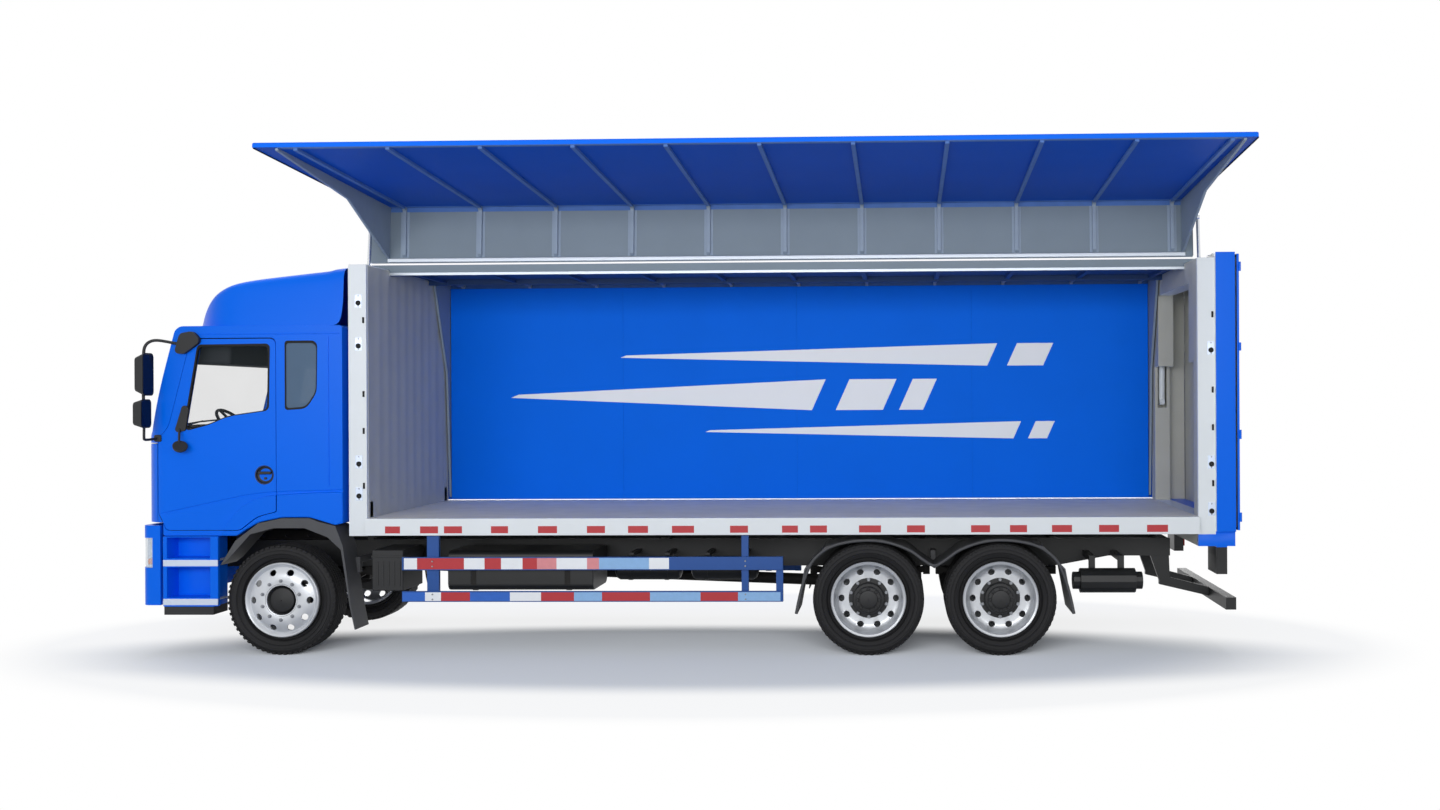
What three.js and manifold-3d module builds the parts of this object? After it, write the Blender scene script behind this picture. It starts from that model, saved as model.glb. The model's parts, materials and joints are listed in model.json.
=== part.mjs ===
// Wing body truck: a three-axle rigid truck with a high-roof cab over its engine, and a cargo box whose
// two sides each swing up with their half of the roof. Millimetres. X runs from the front bumper to the
// rear doors, Y to the truck's right and Z up from the ground.
import * as THREE from "three";
import { mergeVertices } from "three/addons/utils/BufferGeometryUtils.js";
import Module from "manifold-3d";

const wasm = await Module();
wasm.setup();

// ---------------------------------------------------------------- driving sizes
const fit = 0.5;                 // gap between two pieces that rest on each other
const clear = 10;                // gap round a piece that moves
const lap = 1;                   // how far one shape runs into the next where they are joined or cut
const LEFT = -1;
const RIGHT = 1;
const SIDES = [["left", LEFT], ["right", RIGHT]];
const deg = Math.PI / 180;

const boxWidth = 2500;
const halfBox = boxWidth / 2;
const boxTop = 3970;
const nose = 5;                  // front face of the cab and bumper
const rearEnd = 10980;           // rear face of the rear doors

// The tyres stand on one flat facet each, so an axle is a facet's height above the ground.
const tyre = { radius: 558, width: 300, inset: 60, twinWidth: 280, twinGap: 40, sides: 24 };
const tyreOuter = halfBox - tyre.inset;
const axleZ = tyre.radius * Math.cos(Math.PI / tyre.sides);
const tyreTop = axleZ + tyre.radius;
const rearOverhang = 3665;       // from the drive axle to the rear end
const bogieGap = 194;            // between the drive axle's tyres and the tag axle's
const axleX = {
  front: 1420,
  drive: rearEnd - rearOverhang,
  tag: rearEnd - rearOverhang + 2 * tyre.radius + bogieGap,
};
const wheel = { rim: 360, hub: 165, bore: 70 };
const kingpin = { y: tyreOuter - 350, pin: 20, hole: 24, eye: 45, height: 90 };

const frame = {
  top: axleZ + 527, depth: 280, tailDepth: 180, flange: 80, plate: 10, outer: halfBox - 820,
  front: 330, rear: rearEnd - 540,
};
const railInner = frame.outer - frame.flange;
const railFoot = frame.top - frame.depth;

const deck = { top: tyreTop + 264, thickness: 75, railDepth: 170, railWidth: 60 };
const cabRear = 2060;
const frontWall = { front: cabRear + 50, rear: cabRear + 235, skin: 40 };
const rearWall = {
  front: rearEnd - 415, rear: rearEnd - 245, portalRear: rearEnd - 55, outer: halfBox - 25, skin: 34,
};
const post = { outer: halfBox - 60, foot: deck.top - 180 };
const rearDoorSize = { thickness: 45, outer: halfBox - 15, foot: deck.top - 135, top: boxTop - 20 };
const roofPanel = { thickness: 50, halfWidth: halfBox - 650 };
const wing = {
  hinge: roofPanel.halfWidth + clear, hingeZ: boxTop + 5, skin: 50, foot: deck.top + clear, open: 93.3,
  front: frontWall.front + 15, rear: rearWall.front + 75,
};
// Rams: base is the [y, z] of the base pin, and eye is the lug's [y, z] from the closed wing's hinge.
const ram = {
  base: [halfBox - 210, boxTop - 1470], eye: [380, -250],
  barrel: 34, bore: 24, rod: 18, barrelLength: 1120, foot: 90,
};

const cab = { halfWidth: halfBox - 30, wall: 60, corner: 260, sill: frame.top + 126, arch: tyreTop + 278 };
cab.panelFoot = cab.sill + 134;  // front panel, between the bumper and the windscreen
cab.panelTop = cab.sill + 934;
cab.roof = cab.sill + 2104;
const door = { front: 180, rear: 1380, top: cab.roof - 130, gap: 7 };
const glass = 12;
const panelThickness = 50;
const seatY = cab.halfWidth - 620;
const wheelFront = axleX.front - tyre.radius;

// ---------------------------------------------------------------- materials
const finish = (color, roughness, metalness) =>
  new THREE.MeshStandardMaterial({ color, roughness, metalness });
const paint = {
  blue: finish(0x0a6ff0, 0.35, 0.1),
  wing: finish(0x1c4aa5, 0.5, 0.1),
  white: finish(0xe9edf0, 0.45, 0.1),
  grey: finish(0x8a97a3, 0.55, 0.3),
  chassis: finish(0x23262a, 0.6, 0.4),
  black: finish(0x17181a, 0.7, 0.0),
  rubber: finish(0x141415, 0.9, 0.0),
  steel: finish(0xb9bec3, 0.35, 0.9),
  glass: finish(0x35505c, 0.1, 0.0),
  trim: finish(0x5d5750, 0.8, 0.0),
};

// ---------------------------------------------------------------- shapes
// A copy with bare, merged points, which is what joining, cutting and mirroring need.
function welded(geometry) {
  const bare = geometry.clone();
  bare.deleteAttribute("normal");
  bare.deleteAttribute("uv");
  return mergeVertices(bare, 0.001);
}

function toSolid(geometry) {
  const merged = welded(geometry);
  return new wasm.Manifold(new wasm.Mesh({
    numProp: 3,
    vertProperties: new Float32Array(merged.attributes.position.array),
    triVerts: new Uint32Array(merged.index.array),
  }));
}

function toGeometry(solid) {
  const mesh = solid.getMesh();
  const geometry = new THREE.BufferGeometry();
  geometry.setAttribute("position", new THREE.BufferAttribute(new Float32Array(mesh.vertProperties), 3));
  geometry.setIndex(new THREE.BufferAttribute(new Uint32Array(mesh.triVerts), 1));
  return geometry;
}

function join(...geometries) {
  return toGeometry(geometries.map(toSolid).reduce((sum, solid) => sum.add(solid)));
}

function cut(geometry, ...tools) {
  return toGeometry(tools.map(toSolid).reduce((rest, tool) => rest.subtract(tool), toSolid(geometry)));
}

function common(geometry, other) {
  return toGeometry(toSolid(geometry).intersect(toSolid(other)));
}

// The same shape on the other side of the truck's centre plane.
function mirrored(geometry) {
  const copy = welded(geometry);
  copy.scale(1, -1, 1);
  const index = copy.index.array;
  for (let i = 0; i < index.length; i += 3) {
    [index[i], index[i + 1]] = [index[i + 1], index[i]];
  }
  return copy;
}

// Pieces are drawn for the right side of the truck and mirrored for the left.
function onSide(side, geometry) {
  return side === RIGHT ? geometry : mirrored(geometry);
}

function both(geometry) {
  return [geometry, mirrored(geometry)];
}

function box(x0, x1, y0, y1, z0, z1) {
  const geometry = new THREE.BoxGeometry(x1 - x0, y1 - y0, z1 - z0);
  return geometry.translate((x0 + x1) / 2, (y0 + y1) / 2, (z0 + z1) / 2);
}

function extruded(outline, depth) {
  const shape = new THREE.Shape(outline.map(([a, b]) => new THREE.Vector2(a, b)));
  return new THREE.ExtrudeGeometry(shape, { depth, bevelEnabled: false });
}

// An [x, z] outline, carried across the truck from y0 to y1.
function across(outline, y0, y1) {
  return extruded(outline, y1 - y0).rotateX(Math.PI / 2).translate(0, y1, 0);
}

// A [y, z] outline, carried along the truck from x0 to x1.
function along(outline, x0, x1) {
  const turn = new THREE.Matrix4().makeBasis(
    new THREE.Vector3(0, 1, 0), new THREE.Vector3(0, 0, 1), new THREE.Vector3(1, 0, 0));
  return extruded(outline, x1 - x0).applyMatrix4(turn).translate(x0, 0, 0);
}

// An [x, y] outline, carried up from z0 to z1.
function upward(outline, z0, z1) {
  return extruded(outline, z1 - z0).translate(0, 0, z0);
}

// Points on an arc of radius r round (a, b), from one angle in degrees to another.
function arc(a, b, r, from, to, steps) {
  return Array.from({ length: steps + 1 }, (_, i) => {
    const t = (from + (to - from) * i / steps) * deg;
    return [a + r * Math.cos(t), b + r * Math.sin(t)];
  });
}

// A whole circle, as an outline.
function circle(a, b, r, sides) {
  return arc(a, b, r, 0, 360 - 360 / sides, sides - 1);
}

function rounded(a0, a1, b0, b1, r, steps = 3) {
  return [
    ...arc(a1 - r, b0 + r, r, -90, 0, steps), ...arc(a1 - r, b1 - r, r, 0, 90, steps),
    ...arc(a0 + r, b1 - r, r, 90, 180, steps), ...arc(a0 + r, b0 + r, r, 180, 270, steps),
  ];
}

// A strip of the given thickness that follows a run of [x, z] points, on their left.
function strip(points, thickness) {
  const offset = points.map((p, i) => {
    const before = points[Math.max(i - 1, 0)];
    const after = points[Math.min(i + 1, points.length - 1)];
    const run = new THREE.Vector2(after[0] - before[0], after[1] - before[1]).normalize();
    return [p[0] - run.y * thickness, p[1] + run.x * thickness];
  });
  return [...points, ...offset.reverse()];
}

// [radius, y] rings turned about an axle across the truck at (x, z), with a flat facet facing down.
function turned(rings, x, z, sides = tyre.sides) {
  const profile = rings.map(([r, y]) => new THREE.Vector2(r, y));
  const geometry = new THREE.LatheGeometry(profile, sides, Math.PI / sides);
  return geometry.translate(x, 0, z);
}

// A round bar from one [x, y, z] point to another.
function bar(from, to, radius, sides = 12) {
  const a = new THREE.Vector3(...from);
  const b = new THREE.Vector3(...to);
  const run = b.clone().sub(a);
  const geometry = new THREE.CylinderGeometry(radius, radius, run.length(), sides);
  const turn = new THREE.Quaternion().setFromUnitVectors(new THREE.Vector3(0, 1, 0), run.clone().normalize());
  return geometry.applyQuaternion(turn).translate(...a.add(b).multiplyScalar(0.5).toArray());
}

const truck = new THREE.Group();

function add(name, geometry, material, parent = truck) {
  const mesh = new THREE.Mesh(geometry, material);
  mesh.name = name;
  parent.add(mesh);
  return mesh;
}

// ---------------------------------------------------------------- cab body, drawn first for what it carries
// Height of the wheel arch's edge, as a share of its rise from the sill to its top.
const archAt = (share) => cab.sill + share * (cab.arch - cab.sill);
const screen = { foot: [90, cab.panelTop + 120], head: [372, cab.roof] };

// The cab's side outline and its plan, each drawn in from the outside by an inset.
function sideOutline(inset) {
  const lean = (screen.head[0] - screen.foot[0]) / (screen.head[1] - screen.foot[1]);
  const roof = cab.roof - inset;
  const slant = (z) => screen.foot[0] + (z - screen.foot[1]) * lean + inset;
  const bumperBack = 230;
  return [
    [nose + inset, cab.panelFoot + inset], [nose + inset, cab.panelTop],
    [slant(screen.foot[1]), screen.foot[1]], [slant(roof), roof],
    [cabRear - inset, roof], [cabRear - inset, archAt(0.68) + inset],
    [axleX.front + 565, archAt(0.57) + inset], [axleX.front + 302, cab.arch + inset],
    [axleX.front + 18, cab.arch + inset], [axleX.front - 216, archAt(0.73) + inset],
    [axleX.front - 360, archAt(0.27) + inset], [axleX.front - 435, cab.sill + inset],
    [bumperBack + inset, cab.sill + inset], [bumperBack + inset, cab.panelFoot + inset],
  ];
}

function planOutline(inset) {
  const r = cab.corner - inset;
  const half = cab.halfWidth - inset;
  const centre = nose + inset + r;
  const pastRear = cabRear + 10;
  return [
    ...arc(centre, -half + r, r, 180, 270, 4), [pastRear, -half],
    [pastRear, half], ...arc(centre, half - r, r, 90, 180, 4),
  ];
}

function cabBody(inset) {
  const pastSide = cab.halfWidth + 10;
  return common(across(sideOutline(inset), -pastSide, pastSide), upward(planOutline(inset), 0, boxTop));
}

// ---------------------------------------------------------------- chassis frame
// Two pressed channel rails open towards each other, shallower behind the rear axle.
function rail() {
  const { outer, plate, top, tailDepth } = frame;
  const channel = along([
    [railInner, railFoot], [outer, railFoot], [outer, top], [railInner, top], [railInner, top - plate],
    [outer - plate, top - plate], [outer - plate, railFoot + plate], [railInner, railFoot + plate],
  ], frame.front, frame.rear);
  const taper = { start: axleX.tag + 625, end: axleX.tag + 1175 };
  const under = railFoot - lap;
  const pastRear = frame.rear + lap;
  return cut(channel, across([[taper.start, under], [taper.end, top - tailDepth], [pastRear, top - tailDepth],
    [pastRear, under]], railInner - lap, outer + lap));
}

// Cross members: centre x, half length, top and bottom counted down from the rails' top.
const behindCab = cabRear + 170;
const aheadOfDrive = axleX.drive - 865;
const bay = (aheadOfDrive - behindCab) / 3;
const crossMembers = [
  { x: frame.front + 40, half: 40, top: 30, foot: 230 },
  ...[0, 1, 2, 3].map((i) => ({ x: behindCab + i * bay, half: 40, top: 50, foot: 220 })),
  { x: (axleX.drive + axleX.tag) / 2, half: 60, top: 40, foot: 240 },
  { x: axleX.tag + 675, half: 40, top: 50, foot: 180 },
  { x: frame.rear - 30, half: 30, top: 5, foot: 175 },
];

// Rubber-mounted cab feet: one pair behind the bumper and one pair under the back of the cab.
function cabFeet() {
  const [y0, y1] = [railInner, frame.outer];
  const foot = frame.top - lap;
  return [
    ...both(box(430, 530, y0, y1, foot, cab.sill - fit)),
    ...both(box(axleX.front + 568, cabRear - 10, y0, y1, foot, archAt(0.57) - fit)),
  ];
}

const webInner = frame.outer - frame.plate;
add("chassis_frame", join(
  ...both(rail()),
  ...crossMembers.map(({ x, half, top, foot }) => box(
    x - half, x + half, -webInner - lap, webInner + lap, frame.top - foot, frame.top - top)),
  ...cabFeet(),
), paint.chassis);

// ---------------------------------------------------------------- engine and propeller shaft
const engine = { front: 700, rear: 1950, half: railInner - 50, foot: axleZ + 87, top: cab.sill - 26 };
function engineBlock() {
  const [foot, top] = [frame.top - 200, frame.top - 120];
  const footAt = (x) => both(box(x - 40, x + 40, engine.half - lap, webInner - fit, foot, top));
  const feet = [840, 1560].flatMap(footAt);
  return join(box(engine.front, engine.rear, -engine.half, engine.half, engine.foot, engine.top), ...feet);
}
add("engine_block", engineBlock(), paint.chassis);

const axleTube = { radius: 85, spindle: 60, driveBulge: 215, tagBulge: 95 };
add("propshaft", bar([engine.rear + 5, 0, engine.foot + 140],
  [axleX.drive - axleTube.driveBulge - 5, 0, axleZ + 30], 60), paint.chassis);

// ---------------------------------------------------------------- axles
const springY = [frame.outer - 45, frame.outer + 45];
// A leaf spring: a flat arch with its ends under the rail and its middle on the axle.
function spring(x, half, middle) {
  const thickness = 60;
  const top = railFoot - fit;
  const run = [
    [x - half, top - 60], [x - half * 0.55, middle + 75], [x - 110, middle], [x + 110, middle],
    [x + half * 0.55, middle + 75], [x + half, top - 60],
  ];
  const leaf = across([...run, ...run.map(([a, b]) => [a, b + thickness]).reverse()], ...springY);
  const eyes = [x - half, x + half].map((a) => box(a - 35, a + 35, ...springY, top - 85, top));
  return join(leaf, ...eyes);
}

function frontAxle() {
  const half = kingpin.height / 2;
  const { y } = kingpin;
  const edge = [
    [y - 40, axleZ - half], [y - 40, axleZ + half], [y - 280, axleZ + half], [y - 360, axleZ - 33],
  ];
  const under = [[y - 340, axleZ - 133], [y - 260, axleZ - half]];
  const rightHalf = [...under, ...edge];
  const outline = [...rightHalf, ...rightHalf.map(([a, b]) => [-a, b]).reverse()];
  const eye = upward(circle(axleX.front, y, kingpin.eye, 16), axleZ - half, axleZ + half);
  const hole = upward(circle(axleX.front, y, kingpin.hole, 12), axleZ - half - lap, axleZ + half + lap);
  const beam = join(along(outline, axleX.front - 40, axleX.front + 40), ...both(eye));
  return join(cut(beam, ...both(hole)), ...both(spring(axleX.front, 600, axleZ - 38)));
}
add("front_axle", frontAxle(), paint.chassis);

// The axle tube narrows to a spindle inside each pair of wheels.
function rearAxle(x, bulge) {
  const { radius, spindle } = axleTube;
  const end = tyreOuter - 400;
  const shoulder = end - 240;
  const half = [
    [0, -end], [spindle, -end], [spindle, -shoulder - 10], [radius, -shoulder], [radius, -260], [bulge, -120],
  ];
  const tube = turned([...half, ...half.map(([r, y]) => [r, -y]).reverse()], x, axleZ, 16);
  const seat = box(x - 90, x + 90, ...springY, axleZ, axleZ + 80);
  return join(tube, ...both(join(spring(x, 590, axleZ + 70), seat)));
}
add("drive_axle", rearAxle(axleX.drive, axleTube.driveBulge), paint.chassis);
add("tag_axle", rearAxle(axleX.tag, axleTube.tagBulge), paint.chassis);

// ---------------------------------------------------------------- wheels
// A tyre's [radius, y] section from bead to bead, y counted from the given middle.
function tyreSection(width, middle) {
  const { radius } = tyre;
  const half = width / 2;
  return [
    [wheel.rim, -half + 25], [wheel.rim + 60, -half], [radius - 50, -half], [radius, -half + 35],
    [radius, half - 35], [radius - 50, half], [wheel.rim + 60, half], [wheel.rim, half - 25],
  ].map(([r, y]) => [r, y + middle]);
}

// A steered wheel's knuckle forks round the axle's eye and carries the stub axle.
function knuckle() {
  const x = axleX.front;
  const width = 48;
  const inside = kingpin.height / 2 + 8;
  const outside = inside + 45;
  const web = kingpin.y + 85;
  const lug = (z0, z1) => join(upward(circle(x, kingpin.y, width, 16), z0, z1),
    box(x - width, x + width, kingpin.y, web, z0, z1));
  return join(
    lug(axleZ + inside, axleZ + outside), lug(axleZ - outside, axleZ - inside),
    box(x - width, x + width, web - 27, web, axleZ - outside, axleZ + outside),
    upward(circle(x, kingpin.y, kingpin.pin, 12), axleZ - inside - lap, axleZ + inside + lap),
    bar([x, web - 5, axleZ], [x, tyreOuter - 140 - fit, axleZ], 50, 16),
  );
}

// The front wheel's disc is dished outwards, with the hub standing in it.
function frontWheel() {
  const out = tyreOuter;
  const rim = wheel.rim - fit;
  const dish = wheel.hub + 60;
  return turned([
    [0, out - 140], [60, out - 140], [60, out - 220], [dish, out - 220], [dish, out - 100],
    [rim - 30, out - 100], [rim - 30, out - tyre.width + 30], [rim, out - tyre.width + 30],
    [rim, out - 30], [rim - 25, out - 30], [rim - 60, out - 75], [dish, out - 25],
    [wheel.hub, out - 25], [wheel.hub, out - 2], [0, out - 2],
  ], axleX.front, axleZ);
}

// Rear twin wheels: two tyres on two rims, bolted back to back on one hub.
function twinWheels(x) {
  const out = tyreOuter;
  const middle = out - tyre.twinWidth / 2;
  const outer = tyreSection(tyre.twinWidth, middle);
  const inner = tyreSection(tyre.twinWidth, middle - tyre.twinWidth - tyre.twinGap);
  const innerEdge = inner[inner.length - 1][1];
  const barrel = wheel.rim - 35;
  const drum = 150;
  return turned([
    [0, out - 390], [wheel.bore, out - 390], [wheel.bore, out - 560], [drum, out - 560], [drum, out - 340],
    [barrel, out - 340], [barrel, inner[0][1]],
    ...inner, [wheel.rim - 20, innerEdge + 5], [wheel.rim - 20, outer[0][1] - 5], ...outer,
    [barrel, out - 25], [wheel.rim - 60, out - 200],
    [wheel.hub, out - 260], [wheel.hub, out - 90], [0, out - 90],
  ], x, axleZ);
}

for (const [name, side] of SIDES) {
  const section = tyreSection(tyre.width, tyreOuter - tyre.width / 2);
  add(`knuckle_${name}`, onSide(side, knuckle()), paint.chassis);
  add(`front_wheel_${name}`, onSide(side, frontWheel()), paint.steel);
  add(`front_tyre_${name}`, onSide(side, turned([...section, section[0]], axleX.front, axleZ)), paint.rubber);
  add(`drive_wheels_${name}`, onSide(side, twinWheels(axleX.drive)), paint.rubber);
  add(`tag_wheels_${name}`, onSide(side, twinWheels(axleX.tag)), paint.rubber);
}

// ---------------------------------------------------------------- what hangs on the rails
const railSide = frame.outer + fit;
const guard = {
  front: frontWall.front + 545, rear: axleX.drive - tyre.radius - 287, outer: halfBox - 30, thickness: 30,
};

// Two flat arms from the rail's side out to y, centred on the given places along the truck.
function arms(places, y, z0, z1) {
  return places.map((x) => box(x - 30, x + 30, railSide, y, z0, z1));
}

function fuelTank() {
  const front = guard.front + 435;
  const [y0, y1] = [frame.outer + 70, halfBox - 110];
  const shell = along(rounded(y0, y1, frame.top - 440, frame.top - 40, 70), front, front + 1470);
  return join(shell, ...arms([front + 260, front + 1210], y0 + 20, frame.top - 150, frame.top - 80));
}
add("fuel_tank", mirrored(fuelTank()), paint.grey);

function batteryBox() {
  const front = frontWall.front + 215;
  const [y0, y1] = [frame.outer + 170, halfBox - 100];
  const body = box(front, front + 315, y0, y1, frame.top - 440, frame.top - 30);
  return join(body, ...arms([front + 75, front + 235], y0 + 20, frame.top - 180, frame.top - 80));
}
add("battery_box", mirrored(batteryBox()), paint.black);

function airTank() {
  const front = axleX.tag + tyre.radius + 177;
  const tank = { front, rear: front + 690, y: halfBox - 290, z: frame.top - 365, radius: 124 };
  const dome = 70;
  const shell = bar([tank.front + dome, tank.y, tank.z], [tank.rear - dome, tank.y, tank.z], tank.radius);
  const ends = bar([tank.front, tank.y, tank.z], [tank.rear, tank.y, tank.z], tank.radius - 36);
  const places = [tank.front + 200, tank.rear - 200];
  const dropAt = (x) => box(x - 30, x + 30, tank.y - 90, tank.y - 30, tank.z + 65, frame.top - 120);
  const drops = places.map(dropAt);
  return join(shell, ends, ...drops, ...arms(places, tank.y - 60, frame.top - 175, frame.top - 120));
}
add("air_tank", mirrored(airTank()), paint.chassis);

// Side guards: two boards on hangers that come down from the deck's side rail.
const guardBoards = [[frame.top - 224, frame.top - 94], [frame.top - 540, frame.top - 434]];
function sideGuard() {
  const inner = guard.outer - guard.thickness;
  const [upper, lower] = guardBoards;
  const hangerTop = deck.top - deck.railDepth - fit;
  const boards = guardBoards.map(([z0, z1]) => box(guard.front, guard.rear, inner, guard.outer, z0, z1));
  const hangers = [[guard.front + 245, 120], [guard.rear - 414, 70]].map(([x, width]) => box(
    x, x + width, inner - 40, inner + 5, lower[0], hangerTop));
  const end = box(guard.rear - 70, guard.rear, inner - 25, inner + 5, lower[0], upper[1]);
  return join(...boards, ...hangers, end);
}

// Front mudguard: the arch lip under the cab's edge, the guard behind the wheel and its flap.
function frontMudguard() {
  const x = axleX.front;
  const below = clear;
  const back = tyre.radius + 82;
  const outside = [
    [wheelFront - 47, axleZ + 355], [x - 451, cab.sill - 51], [x - 216, archAt(0.73) - below],
    [x + 18, cab.arch - below], [x + 302, cab.arch - below], [x + 403, archAt(0.79) - below],
    [x + 565, archAt(0.57) - below], [x + back, archAt(0.57) - 210],
  ];
  const flap = [
    [x + tyre.radius + 162, axleZ - 38], [x + tyre.radius + 212, 264], [x + tyre.radius + 197, 264],
    [x + tyre.radius + 144, axleZ - 38],
  ];
  const inside = [
    [x + back - 20, archAt(0.57) - 250], [x + 484, cab.arch - 201],
    [x + 251, cab.arch - 110], [x - 64, cab.arch - 110],
    [x - 298, archAt(0.07)], [wheelFront + 24, axleZ + 405],
  ];
  const arm = x + tyre.radius + 107;
  return join(across([...outside, ...flap, ...inside], tyreOuter - 290, cab.halfWidth + 5),
    box(arm, arm + 40, railSide, tyreOuter - 285, frame.top - 180, frame.top - 120),
    box(arm - 25, arm + 40, tyreOuter - 290, tyreOuter - 230, frame.top - 280, frame.top - 120));
}

// Rear mudguards: one pressed strip over both rear wheels, carried between them.
function rearMudguard() {
  // dx outwards from the axle and dz from the tyre's top, from between the axles to the outer foot
  const quarter = [[535, -151], [405, -51], [145, 37]];
  const outerQuarter = [[145, 37], [425, -31], [tyre.radius + 77, -251], [tyre.radius + 159, -694]];
  const middle = (axleX.drive + axleX.tag) / 2;
  const at = (x, way, points) => points.map(([dx, dz]) => [x + way * dx, tyreTop + dz]);
  const run = [
    ...at(axleX.drive, -1, outerQuarter).reverse(), ...at(axleX.drive, 1, quarter).reverse(),
    [middle, tyreTop - 231],
    ...at(axleX.tag, -1, quarter), ...at(axleX.tag, 1, outerQuarter),
  ];
  const inner = tyreOuter - 600;
  return join(across(strip(run, -14), inner, tyreOuter + 10),
    box(middle - 25, middle + 25, railSide, inner + 30, tyreTop - 243, frame.top - 100));
}

for (const [name, side] of SIDES) {
  add(`side_guard_${name}`, onSide(side, sideGuard()), paint.wing);
  add(`front_mudguard_${name}`, onSide(side, frontMudguard()), paint.black);
  add(`rear_mudguard_${name}`, onSide(side, rearMudguard()), paint.black);
}

// Rear underrun bar on two slanting arms under the tail of the frame.
const underrun = {
  front: frame.rear + 400, rear: frame.rear + 500, half: halfBox - 100,
  foot: frame.top - 630, top: frame.top - 510,
};
function underrunArm() {
  const hanger = frame.top - frame.tailDepth - fit;
  const [y0, y1] = [frame.outer - 70, frame.outer - 10];
  const end = frame.rear;
  const knee = end - 110;
  const reach = underrun.front + 40;
  const { top } = frame;
  return join(
    across([[end - 200, hanger], [end - 10, hanger], [end, top - 440], [knee, top - 440]], y0, y1),
    across([
      [knee, top - 380], [knee, top - 480], [reach, underrun.foot + 20], [reach, underrun.top - 10],
    ], y0, y1),
  );
}
add("rear_underrun", join(
  box(underrun.front, underrun.rear, -underrun.half, underrun.half, underrun.foot, underrun.top),
  ...both(underrunArm()),
), paint.chassis);

// ---------------------------------------------------------------- cargo box
// Deck: a plate on bearers, with a side rail along each edge and two sills on the frame.
function boxFloor() {
  const front = frontWall.rear + fit;
  const rear = rearWall.front - fit;
  const plateFoot = deck.top - deck.thickness;
  const edge = halfBox - 10;
  const railBottom = deck.top - deck.railDepth;
  const rails = both(box(front, rear, halfBox - deck.railWidth, halfBox, railBottom, deck.top));
  const sills = both(box(front, rear, railInner, frame.outer, frame.top + fit, plateFoot + lap));
  const count = 13;
  const pitch = (rear - front - 120) / (count - 1);
  const bearers = Array.from({ length: count }, (_, i) => {
    const x = front + 60 + i * pitch;
    return box(x - 30, x + 30, -edge, edge, railBottom + 10, plateFoot + lap);
  });
  return join(box(front, rear, -edge, edge, plateFoot, deck.top), ...rails, ...sills, ...bearers);
}
add("box_floor", boxFloor(), paint.white);

// A pocket inside an end wall, open at the top, where a ram stands.
const wallTop = boxTop - roofPanel.thickness - fit;
const ramPocket = { y0: ram.base[0] - 205, y1: ram.base[0] + 105, foot: ram.base[1] - 70 };
function pocket(x0, x1) {
  return box(x0, x1, ramPocket.y0, ramPocket.y1, ramPocket.foot, wallTop + lap);
}

function frontWallPanel() {
  const { front, rear, skin } = frontWall;
  const panel = box(front, rear, -post.outer, post.outer, post.foot, wallTop);
  return cut(panel, ...both(pocket(front + skin, rear - skin)));
}
add("front_wall", frontWallPanel(), paint.white);

// Rear frame: the portal that the rear doors close, its jambs widened at the top to house the rams.
function rearFrame() {
  const { front, rear, portalRear, outer, skin } = rearWall;
  const shelf = roofPanel.halfWidth;
  const headerFoot = boxTop - 270;
  const housingFoot = boxTop - 1070;
  const jambInner = post.outer - 190;
  const housing = ramPocket.y0 - 45;
  const jamb = along([
    [jambInner, post.foot], [post.outer, post.foot], [post.outer, wallTop], [shelf, wallTop],
    [shelf, headerFoot], [housing, headerFoot], [housing, housingFoot], [jambInner, housingFoot],
  ], front, rear);
  const portalFoot = deck.top - 150;
  const portal = box(rear, portalRear, -outer, outer, portalFoot, boxTop);
  const doorway = box(rear - lap, portalRear + lap, 115 - outer, outer - 115, deck.top - 45, boxTop - 170);
  const header = box(front, rear + 5, -shelf - 10, shelf + 10, headerFoot, wallTop);
  const sill = box(front, portalRear, -post.outer, post.outer, frame.top + fit, deck.top);
  const lamps = box(rear + 5, rear + 110, post.outer - 370, post.outer, frame.top - 275, frame.top + 10);
  const jambs = both(cut(jamb, pocket(front + skin, rear - skin)));
  return join(...jambs, cut(portal, doorway), header, sill, ...both(lamps));
}
add("rear_frame", rearFrame(), paint.blue);

// Fixed middle of the roof, with the rails that carry the wings' hinges and a bow at each rib.
const ribCount = 11;
const firstRib = frontWall.rear + 195;
const ribPitch = (rearWall.front - 135 - firstRib) / (ribCount - 1);
const ribs = Array.from({ length: ribCount }, (_, i) => firstRib + i * ribPitch);
function roofCentre() {
  const { halfWidth, thickness } = roofPanel;
  const under = boxTop - thickness;
  const x0 = frontWall.rear + fit;
  const x1 = rearWall.front - fit;
  const rails = both(box(x0, x1, halfWidth - 60, halfWidth, under - 60, under + lap));
  const bows = ribs.map((x) => box(x - 25, x + 25, 10 - halfWidth, halfWidth - 10, under - 40, under + lap));
  const panel = box(frontWall.front, rearWall.rear - fit, -halfWidth, halfWidth, under, boxTop);
  return join(panel, ...rails, ...bows);
}
add("roof_centre", roofCentre(), paint.grey);

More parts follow.
